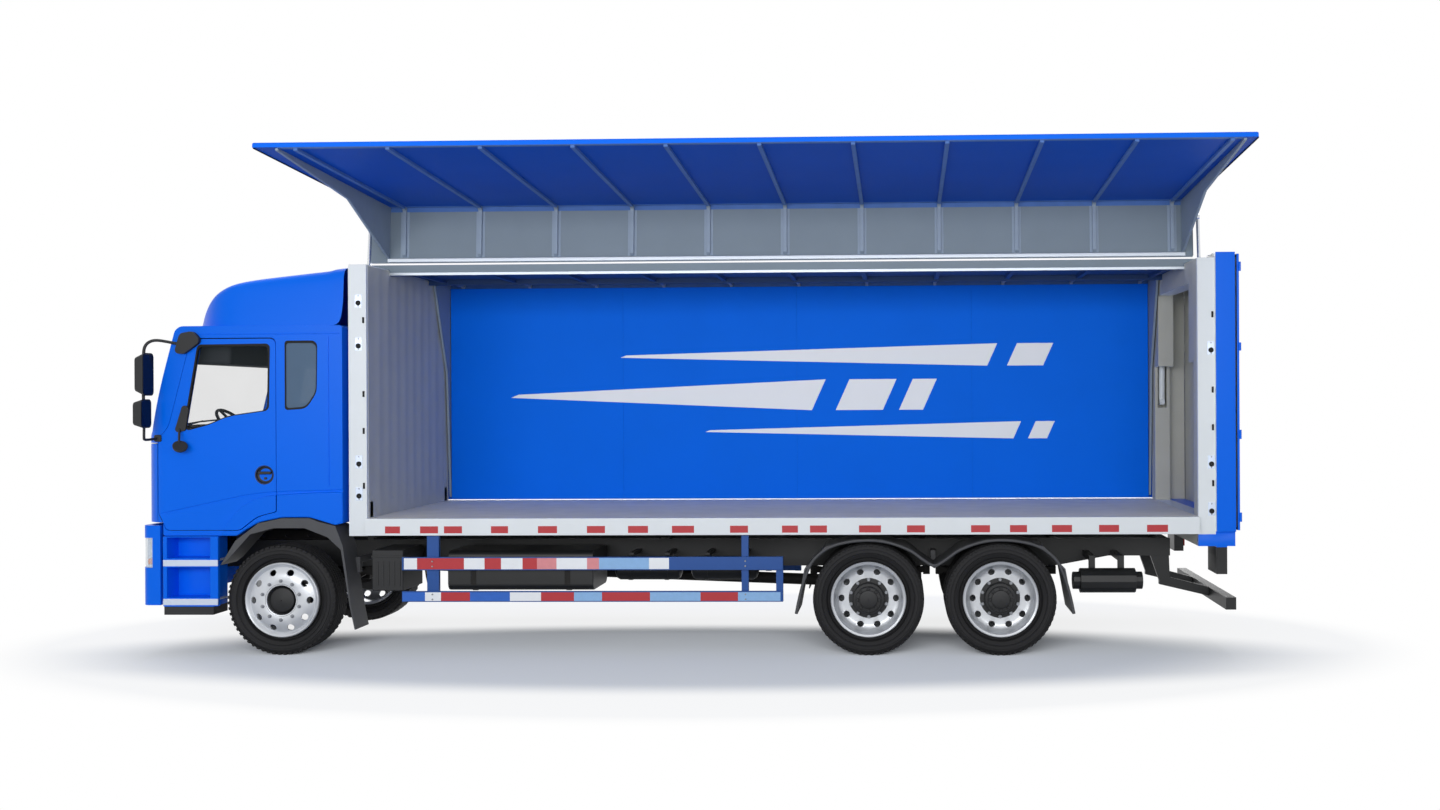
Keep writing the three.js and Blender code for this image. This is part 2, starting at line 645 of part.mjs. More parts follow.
// A wing, drawn closed: y and z count from its hinge, y outwards.
const ramX = [(frontWall.front + frontWall.rear) / 2, (rearWall.front + rearWall.rear) / 2];
const lugOffset = [35, -35];     // each lug stands beside its rod, towards the load space at the rear
function wingPanel() {
  const top = boxTop - wing.hingeZ;
  const side = halfBox - wing.hinge;
  const foot = wing.foot - wing.hingeZ;
  const roofUnder = top - wing.skin;
  const sideInner = side - wing.skin;
  const skin = along([
    [clear, roofUnder], [sideInner, roofUnder], [sideInner, foot], [side, foot], [side, top], [clear, top],
  ], wing.front, wing.rear);
  const cheek = [
    [40, roofUnder + lap], [side - 180, -1100], [sideInner - 20, foot + 30], [sideInner + lap, foot + 30],
    [sideInner + lap, roofUnder + lap],
  ];
  const cheeks = [frontWall.rear + 15, rearWall.front - 40].map((x) => along(cheek, x, x + 25));
  const rib = [
    [60, roofUnder + lap], [90, roofUnder - 30],
    [sideInner - 45, roofUnder - 30], [sideInner - 25, roofUnder - 60],
    [sideInner - 25, foot + 20], [sideInner + lap, foot + 20], [sideInner + lap, roofUnder + lap],
  ];
  const [eyeY, eyeZ] = ram.eye;
  const lug = [
    [eyeY - 150, roofUnder + lap], [eyeY - 40, eyeZ - 25],
    [eyeY + 40, eyeZ - 25], [eyeY + 150, roofUnder + lap],
  ];
  return join(
    skin, ...cheeks, ...ribs.map((x) => along(rib, x - 22, x + 22)),
    ...ramX.map((x, i) => along(lug, x + lugOffset[i] - 9, x + lugOffset[i] + 9)),
  );
}

// ---------------------------------------------------------------- rams
// One ram in each end wall for each wing. Its length and lean follow from how far the wing is open.
function ramAt(openAngle) {
  const t = openAngle * deg;
  const [o, z] = ram.eye;
  const eyeY = wing.hinge + o * Math.cos(t) - z * Math.sin(t);
  const eyeZ = wing.hingeZ + o * Math.sin(t) + z * Math.cos(t);
  const run = [eyeY - ram.base[0], eyeZ - ram.base[1]];
  return { length: Math.hypot(...run), lean: Math.atan2(-run[0], run[1]) };
}
const closedLength = ramAt(0).length;

function ramBarrel() {
  const { barrel, bore, barrelLength, foot } = ram;
  const profile = [
    [0, 30], [barrel, 30], [barrel, barrelLength], [bore, barrelLength], [bore, foot - 10], [0, foot - 10],
  ];
  const points = profile.map(([r, a]) => new THREE.Vector2(r, a));
  const tube = new THREE.LatheGeometry(points, 12).rotateX(Math.PI / 2);
  return join(tube, bar([-28, 0, 0], [28, 0, 0], 38));
}

function ramRod() {
  const rodEnd = closedLength - 10;
  const eye = bar([-15, 0, closedLength], [15, 0, closedLength], 30);
  return join(bar([0, 0, ram.foot], [0, 0, rodEnd], ram.rod), eye);
}

for (const [name, side] of SIDES) {
  const angle = side === LEFT ? wing.open : 0;
  const pivot = new THREE.Group();
  pivot.position.set(0, side * wing.hinge, wing.hingeZ);
  pivot.rotation.x = side * angle * deg;
  truck.add(pivot);
  add(`wing_${name}`, onSide(side, wingPanel()), paint.wing, pivot);

  const { length, lean } = ramAt(angle);
  ["front", "rear"].forEach((end, i) => {
    const stand = new THREE.Group();
    stand.position.set(ramX[i], side * ram.base[0], ram.base[1]);
    stand.rotation.x = side * lean;
    truck.add(stand);
    add(`ram_barrel_${end}_${name}`, ramBarrel(), paint.white, stand);
    const rod = add(`ram_rod_${end}_${name}`, ramRod(), paint.steel, stand);
    rod.position.z = length - closedLength;
  });
}

// ---------------------------------------------------------------- rear doors
function rearDoor() {
  const { thickness, outer, foot, top } = rearDoorSize;
  return box(rearEnd - thickness, rearEnd, clear / 2, outer, foot, top);
}
for (const [name, side] of SIDES) {
  add(`rear_door_${name}`, onSide(side, rearDoor()), paint.blue);
}

// ---------------------------------------------------------------- cab
// Outlines of the openings in the cab, each drawn larger by the given growth.
const doorOutline = (grow) => [
  [door.front - grow, cab.sill + 234], [door.front + 90 - grow, cab.sill + 56 - grow],
  [axleX.front - 410 + grow, cab.sill + 56 - grow], [axleX.front - 230 + grow, archAt(0.73) + 60 - grow],
  [door.rear + grow, cab.arch + 59 - grow], [door.rear + grow, door.top + grow], [520 - grow, door.top + grow],
  [285 - grow, cab.panelTop + 150 + grow], [door.front - grow, cab.panelTop + 50],
];
const windowOutline = (grow) => [
  [443 - grow, cab.panelTop + 118 - grow], [700, cab.panelTop + 190 - grow], [900, cab.panelTop + 280 - grow],
  [door.rear - 74 + grow, cab.panelTop + 321 - grow], [door.rear - 61 + grow, door.top - 57 + grow],
  [590 - grow, door.top - 63 + grow],
];
const quarterOutline = (grow) => [
  [door.rear + 97 - grow, cab.panelTop + 330 - grow], [door.rear + 310 + grow, cab.panelTop + 340 - grow],
  [door.rear + 410 + grow, cab.panelTop + 500], [door.rear + 422 + grow, door.top - 30 + grow],
  [door.rear + 97 - grow, door.top - 30 + grow],
];
// The windscreen's [y, z] outline, seen from the front.
const screenOutline = (grow) => {
  const [foot, head] = [cab.halfWidth - 160 + grow, cab.halfWidth - 210 + grow];
  const [z0, z1] = [cab.panelTop + 150 - grow, cab.roof - 95 + grow];
  return [[-foot, z0], [foot, z0], [head, z1], [-head, z1]];
};
const screenRear = 700;          // behind the whole windscreen
const panelRear = 166;           // where the front panel ends on the cab's sides
const wallIn = cab.halfWidth - cab.wall;
const pastCab = cab.halfWidth + 20;

// Recess that the front panel lies in.
function panelRecess(room) {
  const [z0, z1] = [cab.panelFoot - 20, cab.panelTop + 10];
  const inside = upward(planOutline(panelThickness + room), z0 - lap, z1);
  const ring = cut(upward(planOutline(-lap), z0, z1 - room), inside);
  return common(ring, box(-pastCab, panelRear + room, -pastCab, pastCab, z0, z1));
}

function cabShell() {
  const through = (outline) => across(outline, -pastCab, pastCab);
  return cut(cabBody(0), cabBody(cab.wall), through(doorOutline(door.gap)), through(quarterOutline(lap)),
    along(screenOutline(lap), -10, screenRear), panelRecess(8));
}
add("cab_shell", cabShell(), paint.blue);

const outerSkin = cut(cabBody(0), cabBody(glass));
add("windscreen", common(outerSkin, along(screenOutline(0), 0, screenRear)), paint.glass);

function frontPanel() {
  const ring = cut(upward(planOutline(0), cab.panelFoot, cab.panelTop - 6),
    upward(planOutline(panelThickness), cab.panelFoot - lap, cab.panelTop));
  return common(ring, box(-pastCab, panelRear, -pastCab, pastCab, 0, boxTop));
}
add("front_panel", frontPanel(), paint.blue);

function cabDoor() {
  const slab = common(across(doorOutline(0), wallIn, cab.halfWidth), upward(planOutline(0), 0, boxTop));
  return cut(slab, across(windowOutline(lap), wallIn - lap, pastCab));
}

function sideGlass(outline) {
  const outside = cab.halfWidth - 25;
  return across(outline, outside - glass, outside);
}
for (const [name, side] of SIDES) {
  add(`cab_door_${name}`, onSide(side, cabDoor()), paint.blue);
  add(`door_glass_${name}`, onSide(side, sideGlass(windowOutline(0))), paint.glass);
  add(`quarter_window_${name}`, onSide(side, sideGlass(quarterOutline(0))), paint.glass);
}

// High roof, one moulding on the cab's roof line: its side outline, section and plan of one half.
function roofFairing() {
  const foot = cab.roof + fit;
  const outline = [
    [440, foot], [460, foot + 20], [555, foot + 164], [640, foot + 270], [740, foot + 355], [860, foot + 412],
    [976, foot + 444], [1400, foot + 502], [1806, foot + 549], [cabRear, foot + 597], [cabRear, foot],
  ];
  const half = cab.halfWidth;
  const section = [[half - 5, -10], [half - 15, 190], [half - 50, 390], [half - 120, 530], [half - 240, 605]]
    .map(([y, rise]) => [y, foot + rise]);
  const plan = [[cabRear + lap, half - 5], [760, half - 5], [560, half - 140], [440, half - 370]];
  const whole = (run) => [...run, ...run.map(([a, b]) => [a, -b]).reverse()];
  const symmetric = [...section, ...section.map(([y, z]) => [-y, z]).reverse()];
  return common(common(across(outline, -pastCab, pastCab), along(symmetric, 400, cabRear + lap)),
    upward(whole(plan), 0, boxTop + 200));
}
add("roof_fairing", roofFairing(), paint.blue);

// Bumper, wrapped round the corners and carried on the frame's front ends.
function bumper() {
  const size = { foot: cab.sill - 698, top: cab.sill + 103, corner: 190, rear: 203, thickness: 50 };
  const { foot, top, corner, rear, thickness } = size;
  const half = cab.halfWidth;
  const centreY = half - corner;
  const wrapped = (inset, end) => {
    const x = nose + corner;
    const r = corner - inset;
    return [
      ...arc(x, -centreY, r, 180, 270, 4), [end, inset - half],
      [end, half - inset], ...arc(x, centreY, r, 90, 180, 4),
    ];
  };
  const inside = upward(wrapped(thickness, rear + lap), foot - lap, top + lap);
  const shell = cut(upward(wrapped(0, rear), foot, top), inside);
  const stay = box(nose + thickness - lap, frame.front - fit, frame.outer - 70, frame.outer - 10,
    frame.top - 200, frame.top - 80);
  return join(shell, ...both(stay));
}
add("bumper", bumper(), paint.blue);

// Dashboard with the steering column and wheel on the left.
function dashboard() {
  const z = cab.panelTop;
  const section = [
    [150, z - 440], [150, z + 90], [330, z + 90], [470, z - 20], [480, z - 240], [380, z - 440],
  ];
  const top = across(section, clear - wallIn, wallIn - clear);
  const column = bar([420, -seatY, z - 160], [640, -seatY, z + 60], 30);
  const hub = [655, -seatY, z + 70];
  const ring = new THREE.TorusGeometry(220, 16, 5, 16).rotateY(Math.PI / 4).translate(...hub);
  const spoke = box(-14, 14, -215, 215, -25, 25).rotateY(Math.PI / 4).translate(...hub);
  return join(common(top, cabBody(cab.wall + fit)), column, ring, spoke);
}
add("dashboard", dashboard(), paint.trim);

// Two seats on risers that stand on the cab floor, joined by the cover over the engine.
function seats() {
  const z = cab.arch;
  const cushion = { front: 790, rear: 1290, half: 260, foot: z + 326, top: z + 461 };
  const floor = cabBody(cab.wall + fit);
  const seat = (y) => join(
    common(box(880, 1180, y - 200, y + 200, 0, cushion.foot + lap), floor),
    box(cushion.front, cushion.rear, y - cushion.half, y + cushion.half, cushion.foot, cushion.top),
    across([[1230, z + 411], [1350, z + 411], [1470, z + 1171], [1370, z + 1171]], y - 250, y + 250),
  );
  const cover = common(box(900, 1400, -seatY - 150, seatY + 150, 0, z + 80), floor);
  return join(cover, seat(-seatY), seat(seatY));
}
add("seats", seats(), paint.trim);

// Steps: a housing under each door with two recessed treads.
function steps() {
  const { sill } = cab;
  const outer = cab.halfWidth + 20;
  const rear = wheelFront - 107;
  const housing = join(box(250, rear, outer - 280, outer, sill - 792, sill - 6),
    box(240, rear + 45, outer - 45, outer, sill - 706, sill - 6));
  const recess = [[sill - 621, sill - 316], [sill - 226, sill - 16]].map(([z0, z1]) => box(
    280, rear - 35, outer - 220, outer + clear, z0, z1));
  return join(cut(housing, ...recess), box(380, 620, railSide, outer - 275, frame.top - 180, frame.top - 80));
}

// Mirrors: two heads on one arm at each front corner of the cab.
function mirrors() {
  const z = cab.panelTop;
  const y = cab.halfWidth + 180;
  const rod = 16;
  const arm = (from, to) => bar(from, to, rod, 6);
  const mainHead = box(75, 190, y - 100, y + 100, z + 475, z + 890);
  const wideHead = box(75, 185, y - 90, y + 90, z + 160, z + 435);
  return cut(join(
    mainHead, wideHead, arm([130, y, z + 420], [130, y, z + 500]), arm([130, y, z + 880], [130, y, z + 970]),
    arm([130, y + 8, z + 960], [420, y - 220, z + 1075]), arm([130, y, z + 170], [130, y, z + 90]),
    arm([130, y + 8, z + 100], [150, y - 240, z + 100]),
  ), cabBody(-fit));
}
for (const [name, side] of SIDES) {
  add(`step_${name}`, onSide(side, steps()), paint.black);
  add(`mirror_${name}`, onSide(side, mirrors()), paint.black);
}

// ---------------------------------------------------------------- the whole, centred over its footprint
truck.updateMatrixWorld(true);
const centre = new THREE.Box3().setFromObject(truck, true).getCenter(new THREE.Vector3());
truck.position.set(-centre.x, -centre.y, 0);

export default truck;
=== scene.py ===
# Wing body truck: a three-axle rigid truck whose cargo box opens along both sides. Metres, in the frame's
# own axes: X from the nose to the rear doors, Y to the truck's right and Z up from the ground.
import json
import math

import bpy
from mathutils import Matrix, Vector
from mathutils.bvhtree import BVHTree

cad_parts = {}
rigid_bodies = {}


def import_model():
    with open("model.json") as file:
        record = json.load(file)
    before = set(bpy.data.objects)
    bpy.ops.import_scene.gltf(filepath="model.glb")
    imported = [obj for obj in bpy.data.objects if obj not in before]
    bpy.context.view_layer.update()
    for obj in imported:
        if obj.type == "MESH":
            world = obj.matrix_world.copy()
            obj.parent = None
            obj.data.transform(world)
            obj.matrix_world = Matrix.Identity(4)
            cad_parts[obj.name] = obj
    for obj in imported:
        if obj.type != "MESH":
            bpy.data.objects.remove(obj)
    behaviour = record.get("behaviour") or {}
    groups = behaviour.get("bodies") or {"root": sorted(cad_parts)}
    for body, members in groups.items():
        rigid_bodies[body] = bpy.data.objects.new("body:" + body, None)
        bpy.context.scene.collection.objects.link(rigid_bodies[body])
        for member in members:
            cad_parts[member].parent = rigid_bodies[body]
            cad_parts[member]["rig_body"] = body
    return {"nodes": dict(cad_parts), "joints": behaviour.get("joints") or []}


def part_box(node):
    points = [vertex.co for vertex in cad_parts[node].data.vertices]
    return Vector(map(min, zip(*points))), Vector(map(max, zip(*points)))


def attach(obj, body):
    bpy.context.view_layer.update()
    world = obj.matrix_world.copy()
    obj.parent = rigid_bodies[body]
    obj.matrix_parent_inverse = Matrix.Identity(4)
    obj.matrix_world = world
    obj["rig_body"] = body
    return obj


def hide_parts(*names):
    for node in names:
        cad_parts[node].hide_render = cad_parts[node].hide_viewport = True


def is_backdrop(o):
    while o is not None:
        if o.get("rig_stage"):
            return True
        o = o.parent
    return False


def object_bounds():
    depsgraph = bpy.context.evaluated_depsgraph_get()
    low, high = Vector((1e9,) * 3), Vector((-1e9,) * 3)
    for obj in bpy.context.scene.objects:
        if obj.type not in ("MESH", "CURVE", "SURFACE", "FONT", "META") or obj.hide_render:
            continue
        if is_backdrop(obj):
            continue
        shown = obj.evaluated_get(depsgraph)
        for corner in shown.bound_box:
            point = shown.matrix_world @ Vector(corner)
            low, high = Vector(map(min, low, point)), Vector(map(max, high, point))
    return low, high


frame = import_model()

cad_low, cad_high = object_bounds()
NOSE = cad_low.x                 # front of the bumper, from which lengths along the truck are counted
MIDDLE = sum(corner.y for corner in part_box("chassis_frame")) / 2
SIDES = (("left", -1), ("right", 1))

# ---------------------------------------------------------------- camera
# A level camera beside the truck's left flank, at half the height of the open wing. It stands opposite the
# rear axles and is shifted sideways, so that both end walls of the open box show their inner faces.
scene = bpy.context.scene
bpy.ops.object.select_all(action="DESELECT")
bpy.ops.object.camera_add(location=(NOSE + 7.641, MIDDLE - 14.25, 2.528),
    rotation=(math.pi / 2, 0.005, 0.030))
scene.camera = bpy.context.object
scene.camera.data.sensor_width = 36
scene.camera.data.lens = 32.97
scene.camera.data.shift_x = -0.0981
scene.camera.data.shift_y = -0.0030
scene.camera.data.clip_end = 200

# ---------------------------------------------------------------- studio
# A pale floor that fades into a white surround, one wide soft lamp overhead and one along each side. The
# surround is white to the camera, to gloss and through glass; its light on the truck is plainer.
def add(tree, kind, settings=(), links=()):
    """One shader node; settings go to its inputs or attributes by name, and links join its inputs."""
    made = tree.nodes.new("ShaderNode" + kind)
    for key, value in dict(settings).items():
        if isinstance(key, int) or key in made.inputs:
            made.inputs[key].default_value = value
        else:
            setattr(made, key, value)
    for key, source in dict(links).items():
        tree.links.new(source, made.inputs[key])
    return made


def srgb(code):
    """Linear colour of an sRGB hex code."""
    channels = [int(code[i:i + 2], 16) / 255 for i in (0, 2, 4)]
    return [*(c / 12.92 if c < 0.04045 else ((c + 0.055) / 1.055) ** 2.4 for c in channels), 1]


def blank(name):
    """A new material with nothing but its output, and its node tree."""
    material = bpy.data.materials.new(name)
    material.use_nodes = True
    material.node_tree.nodes.clear()
    return material, material.node_tree, material.node_tree.nodes.new("ShaderNodeOutputMaterial")


def straight_rays(tree):
    """One for rays to the camera, through glass or off gloss, and none for the light on the truck."""
    rays = add(tree, "LightPath").outputs
    first = add(tree, "Math", {"operation": "MAXIMUM"},
        {0: rays["Is Camera Ray"], 1: rays["Is Transmission Ray"]})
    return add(tree, "Math", {"operation": "MAXIMUM"},
        {0: first.outputs[0], 1: rays["Is Glossy Ray"]}).outputs[0]


world = bpy.data.worlds.new("surround")
scene.world = world
world.use_nodes = True
world.node_tree.nodes.clear()
light = add(world.node_tree, "Background", {"Color": srgb("EEF2F6"), "Strength": 0.40})
white = add(world.node_tree, "Background", {"Color": (1, 1, 1, 1), "Strength": 1})
both = add(world.node_tree, "MixShader", {},
    {0: straight_rays(world.node_tree), 1: light.outputs[0], 2: white.outputs[0]})
sky = world.node_tree.nodes.new("ShaderNodeOutputWorld")
world.node_tree.links.new(both.outputs[0], sky.inputs["Surface"])

for x, y, height, tilt, length, breadth, energy in ((0, 2.0, 11.5, -8, 15, 6, 900),
        (-1, -15.5, 4.6, 83, 18, 4, 1380), (-1, 13, 5.0, -78, 18, 4, 1200)):
    bpy.ops.object.light_add(type="AREA", location=(x, MIDDLE + y, height),
        rotation=(math.radians(tilt), 0, 0))
    lamp = bpy.context.object
    lamp.visible_camera = height > 10
    lamp.data.shape = "RECTANGLE"
    lamp.data.size, lamp.data.size_y, lamp.data.energy = length, breadth, energy

# Seamless paper: the floor takes the truck's shadow near it and turns to the surround's white far away.
bpy.ops.mesh.primitive_plane_add(size=400, location=(0, 0, 0))
floor = bpy.context.object
floor.name = "floor"
paper, tree, output = blank("seamless_paper")
place = add(tree, "TexCoord")
fades = []
for reach_x, reach_y, y, least, most in ((6.9, 1.9, -1.15, 0.68, 0.82), (7.6, 3.7, -0.4, 0.62, 1.0)):
    near = add(tree, "Mapping", {"Location": (0, -(MIDDLE + y) / reach_y, 0),
        "Scale": (1 / reach_x, 1 / reach_y, 0)}, {"Vector": place.outputs["Object"]})
    far = add(tree, "VectorMath", {"operation": "LENGTH"}, {0: near.outputs["Vector"]})
    fades.append(add(tree, "MapRange", {"From Min": least, "From Max": 1.0, "To Max": most,
        "interpolation_type": "SMOOTHSTEP"}, {"Value": far.outputs["Value"]}))
fade = add(tree, "Math", {"operation": "MAXIMUM"},
    {0: fades[0].outputs["Result"], 1: fades[1].outputs["Result"]})
matt = add(tree, "BsdfDiffuse", {"Color": srgb("D2D6DC"), "Roughness": 1})
bright = add(tree, "Emission", {"Color": (1, 1, 1, 1), "Strength": 1})
cut = add(tree, "Math", {"operation": "MULTIPLY"}, {0: fade.outputs[0], 1: straight_rays(tree)})
mixed = add(tree, "MixShader", {}, {0: cut.outputs[0], 1: matt.outputs[0], 2: bright.outputs[0]})
tree.links.new(mixed.outputs[0], output.inputs["Surface"])
floor.data.materials.append(paper)
floor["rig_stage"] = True
scene.view_settings.view_transform = "Standard"

# ---------------------------------------------------------------- tyres
# Radial truck tyres: black rubber moulded round a steel belt, with five ribs of tread, shoulder blocks and
# a stepped sidewall. One stands at each end of the front axle and four on each rear axle.
def pick(piece):
    """Only this piece selected, and active."""
    bpy.ops.object.select_all(action="DESELECT")
    piece.select_set(True)
    bpy.context.view_layer.objects.active = piece
    return piece


def settle(piece, name):
    """The piece named, with its place, turn and size held in its mesh."""
    pick(piece).name = piece.data.name = name
    bpy.ops.object.transform_apply(location=True, rotation=True, scale=True)
    return piece


def started(name, kind, **settings):
    """A primitive added at its size and place, from which a piece is made."""
    bpy.ops.object.select_all(action="DESELECT")
    getattr(bpy.ops.mesh, f"primitive_{kind}_add")(**settings)
    return settle(bpy.context.object, name)


def worked(piece, kind, **settings):
    """The piece after one modifier, applied."""
    pick(piece)
    bpy.ops.object.modifier_add(type=kind)
    modifier = piece.modifiers[-1]
    for key, value in settings.items():
        setattr(modifier, key, value)
    bpy.ops.object.modifier_apply(modifier=modifier.name)
    return piece


def smooth(piece, angle=32):
    pick(piece)
    bpy.ops.object.shade_smooth_by_angle(angle=math.radians(angle))
    return piece


def edited(piece, *steps):
    """The piece after steps in edit mode on the whole of it, each an operator's name and its settings."""
    pick(piece)
    bpy.ops.object.mode_set(mode="EDIT")
    bpy.ops.mesh.select_all(action="SELECT")
    for operator, settings in steps:
        getattr(bpy.ops.mesh, operator)(**settings)
    bpy.ops.object.mode_set(mode="OBJECT")
    return piece


OUTWARDS = ("normals_make_consistent", {"inside": False})


def mended(piece):
    """The piece with its doubles merged and its faces pointing outwards."""
    return edited(piece, ("remove_doubles", {"threshold": 0.00001}), OUTWARDS)


def turned(name, profile, centre, steps=64, angle=32):
    """A piece turned about an axle along Y: profile is a closed run of (radius, distance along Y)."""
    piece = started(name, "circle", vertices=len(profile))
    for vertex, (radius, along) in zip(piece.data.vertices, profile):
        vertex.co = (centre[0] + radius, centre[1] + along, centre[2])
    edited(piece, ("spin", {"steps": steps, "angle": 2 * math.pi, "center": centre, "axis": (0, 1, 0)}))
    return smooth(mended(piece), angle)


def copied(piece, name, matrix=Matrix.Identity(4)):
    """A copy with a mesh of its own, moved by a matrix."""
    twin = piece.copy()
    twin.data = piece.data.copy()
    twin.name = twin.data.name = name
    scene.collection.objects.link(twin)
    twin.data.transform(matrix)
    if matrix.determinant() < 0:
        edited(twin, ("flip_normals", {}))
    return twin


def joined(name, pieces):
    """Several pieces as one mesh."""
    bpy.ops.object.select_all(action="DESELECT")
    for piece in pieces:
        piece.select_set(True)
    bpy.context.view_layer.objects.active = pieces[0]
    bpy.ops.object.join()
    pieces[0].name = pieces[0].data.name = name
    return pieces[0]


def around(centre, angle):
    """A turn about an axle along Y through the centre."""
    centre = Vector(centre)
    return Matrix.Translation(centre) @ Matrix.Rotation(angle, 4, "Y") @ Matrix.Translation(-centre)


def shift(x=0, y=0, z=0):
    return Matrix.Translation((x, y, z))


def swing(degrees, axis):
    return Matrix.Rotation(math.radians(degrees), 4, axis)


ACROSS = shift(y=MIDDLE) @ Matrix.Scale(-1, 4, (0, 1, 0)) @ shift(y=-MIDDLE)    # to the truck's other side


def painted(piece, *materials):
    """The piece with these materials added to it."""
    for material in materials:
        piece.data.materials.append(material)
    return piece


def finish(piece, material, body, replaces=(), flat=True):
    """The piece given its material, unless it has some, and set on the body that carries it."""
    if material and not piece.data.materials:
        painted(piece, material)
    if flat:                         # broad faces shade flat, and only their rounded edges turn the light
        worked(piece, "WEIGHTED_NORMAL", keep_sharp=True)
    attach(piece, body)
    if replaces:
        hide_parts(*replaces)
    return piece


def coated(name, colour, roughness, metallic=0.0, specular=0.5, mottle=0.05, mottle_mm=350,
        grain_mm=2.5, grain=0.04):
    """Principled surface: colour mottled slowly by +-mottle, and a fine grain in gloss and bump."""
    material, tree, output = blank(name)
    place = add(tree, "TexCoord").outputs["Object"]
    slow = add(tree, "TexNoise", {"Scale": 1000 / mottle_mm, "Detail": 3}, {"Vector": place})
    fine = add(tree, "TexNoise", {"Scale": 1000 / grain_mm, "Detail": 2}, {"Vector": place})
    tone = add(tree, "MapRange", {"To Min": 1 - mottle, "To Max": 1 + mottle},
        {"Value": slow.outputs["Fac"]})
    mixed = add(tree, "VectorMath", {"operation": "MULTIPLY", 0: srgb(colour)[:3]},
        {1: tone.outputs["Result"]})
    gloss = add(tree, "MapRange", {"To Min": roughness - grain, "To Max": roughness + grain},
        {"Value": fine.outputs["Fac"]})
    bump = add(tree, "Bump", {"Strength": min(1, 4 * grain), "Distance": grain_mm / 8000},
        {"Height": fine.outputs["Fac"]})
    shader = add(tree, "BsdfPrincipled", {"Metallic": metallic, "Specular IOR Level": specular},
        {"Base Color": mixed.outputs[0], "Roughness": gloss.outputs["Result"],
        "Normal": bump.outputs["Normal"]})
    tree.links.new(shader.outputs[0], output.inputs["Surface"])
    return material


# Vulcanised carbon-black rubber: nearly black, with a dull sheen and a faint dusty bloom.
tyre_rubber = coated("vulcanised_rubber", "1B1B1D", 0.72, specular=0.35, mottle=0.22, mottle_mm=120,
    grain_mm=6, grain=0.08)
TREAD_DEPTH = 0.014
RIM_RADIUS = 0.368
TREAD_PITCH = 60                 # shoulder blocks round the tyre


def tyre(name, centre, radius, width, side):
    """One tyre; centre is the middle of its tread and side points to its outer wall."""
    half = width / 2
    wall = [(RIM_RADIUS + out, along) for out, along in ((0, 0.52), (0.018, 0.60), (0.032, 0.64),
        (0.040, 0.60), (0.052, 0.78), (0.085, 0.93), (0.090, 0.905), (0.100, 0.985))]
    wall += [(radius - down, along) for down, along in ((0.062, 0.995), (0.058, 0.965), (0.050, 0.985),
        (0.030, 0.94), (0.008, 0.86), (0.003, 0.80))]
    tread = []
    for groove in (0.62, 0.31, 0.0, -0.31, -0.62):
        tread += [(radius, groove + 0.05), (radius - TREAD_DEPTH, groove + 0.03),
            (radius - TREAD_DEPTH, groove - 0.03), (radius, groove - 0.05)]
    inside = [(radius - 0.04, -0.80), (radius - 0.04, 0.80)]
    run = [*wall, *tread, *[(r, -a) for r, a in reversed(wall)], (RIM_RADIUS + 0.03, -0.45), *inside,
        (RIM_RADIUS + 0.03, 0.45)]
    carcass = turned(name, [(r, a * half * side) for r, a in run], centre, steps=96, angle=28)
    place = (centre[0], centre[1] + 0.84 * half, centre[2] + radius - 0.012)
    block = started(name + "_block", "cube", size=1, location=place, scale=(0.030, 0.30 * half, 0.020),
        rotation=(-0.10, 0, 0))
    worked(block, "BEVEL", width=0.003, segments=1)
    blocks = [block, copied(block, name + "_block", around(centre, math.pi / TREAD_PITCH)
        @ shift(y=centre[1]) @ Matrix.Scale(-1, 4, (0, 1, 0)) @ shift(y=-centre[1]))]
    for pitch in range(1, TREAD_PITCH):
        turn = around(centre, pitch * 2 * math.pi / TREAD_PITCH)
        blocks += [copied(b, name + "_block", turn) for b in blocks[:2]]
    return joined(name, [carcass, *blocks])


def bounds_of(node):
    low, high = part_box(node)
    return low, high, (low + high) / 2

# ---------------------------------------------------------------- front wheels
# One-piece steel discs painted silver, dished outwards, with ten hand holes and ten nuts round a black
# grease cap. The brake drum behind closes the holes.
wheel_steel = coated("silver_wheel_enamel", "CFD2D6", 0.34, metallic=0.35, mottle=0.05,
    mottle_mm=90, grain_mm=4)
hub_iron = coated("black_hub_casting", "1A1B1D", 0.55, metallic=0.2, mottle=0.12, mottle_mm=60, grain_mm=5)
nut_zinc = coated("zinc_plated_nuts", "8E9196", 0.4, metallic=0.8, mottle=0.08, mottle_mm=30)


def stood_out(profile, face, side):
    """A profile whose distances are counted outwards from a wheel's face."""
    return [(radius, side * (face + along)) for radius, along in profile]


def ring_of(piece, name, centre, count, start=0.0):
    """The piece repeated evenly round an axle."""
    rest = [copied(piece, name, around(centre, i * 2 * math.pi / count)) for i in range(1, count)]
    whole = joined(name, [piece, *rest])
    whole.data.transform(around(centre, start))
    return whole


def nut(name, centre, radius, out, side):
    """A wheel nut with its stud, standing out of the disc."""
    parts = []
    for vertices, size, depth, proud, edge in ((6, 0.019, 0.026, 0, 0.003),
            (10, 0.010, 0.040, 0.004, 0.002)):
        place = (centre[0] + radius, centre[1] + side * (out + proud), centre[2])
        part = started(name, "cylinder", vertices=vertices, radius=size, depth=depth, location=place,
            rotation=(math.pi / 2, 0, 0))
        parts.append(worked(part, "BEVEL", width=edge, segments=1))
    return joined(name, parts)


def pierced(disc, centre, radius, size, count):
    """The disc with round hand holes cut through it."""
    punch = started("punch", "cylinder", vertices=20, radius=size, depth=0.4, rotation=(math.pi / 2, 0, 0),
        location=(centre[0] + radius, centre[1], centre[2]))
    punch.data.transform(Matrix.Translation(Vector(centre)) @ Matrix.Diagonal((1, 1, 1.15, 1))
        @ Matrix.Translation(-Vector(centre)))
    punches = ring_of(punch, "punch", centre, count)
    worked(disc, "BOOLEAN", object=punches, operation="DIFFERENCE", solver="EXACT")
    bpy.data.objects.remove(punches)
    return disc


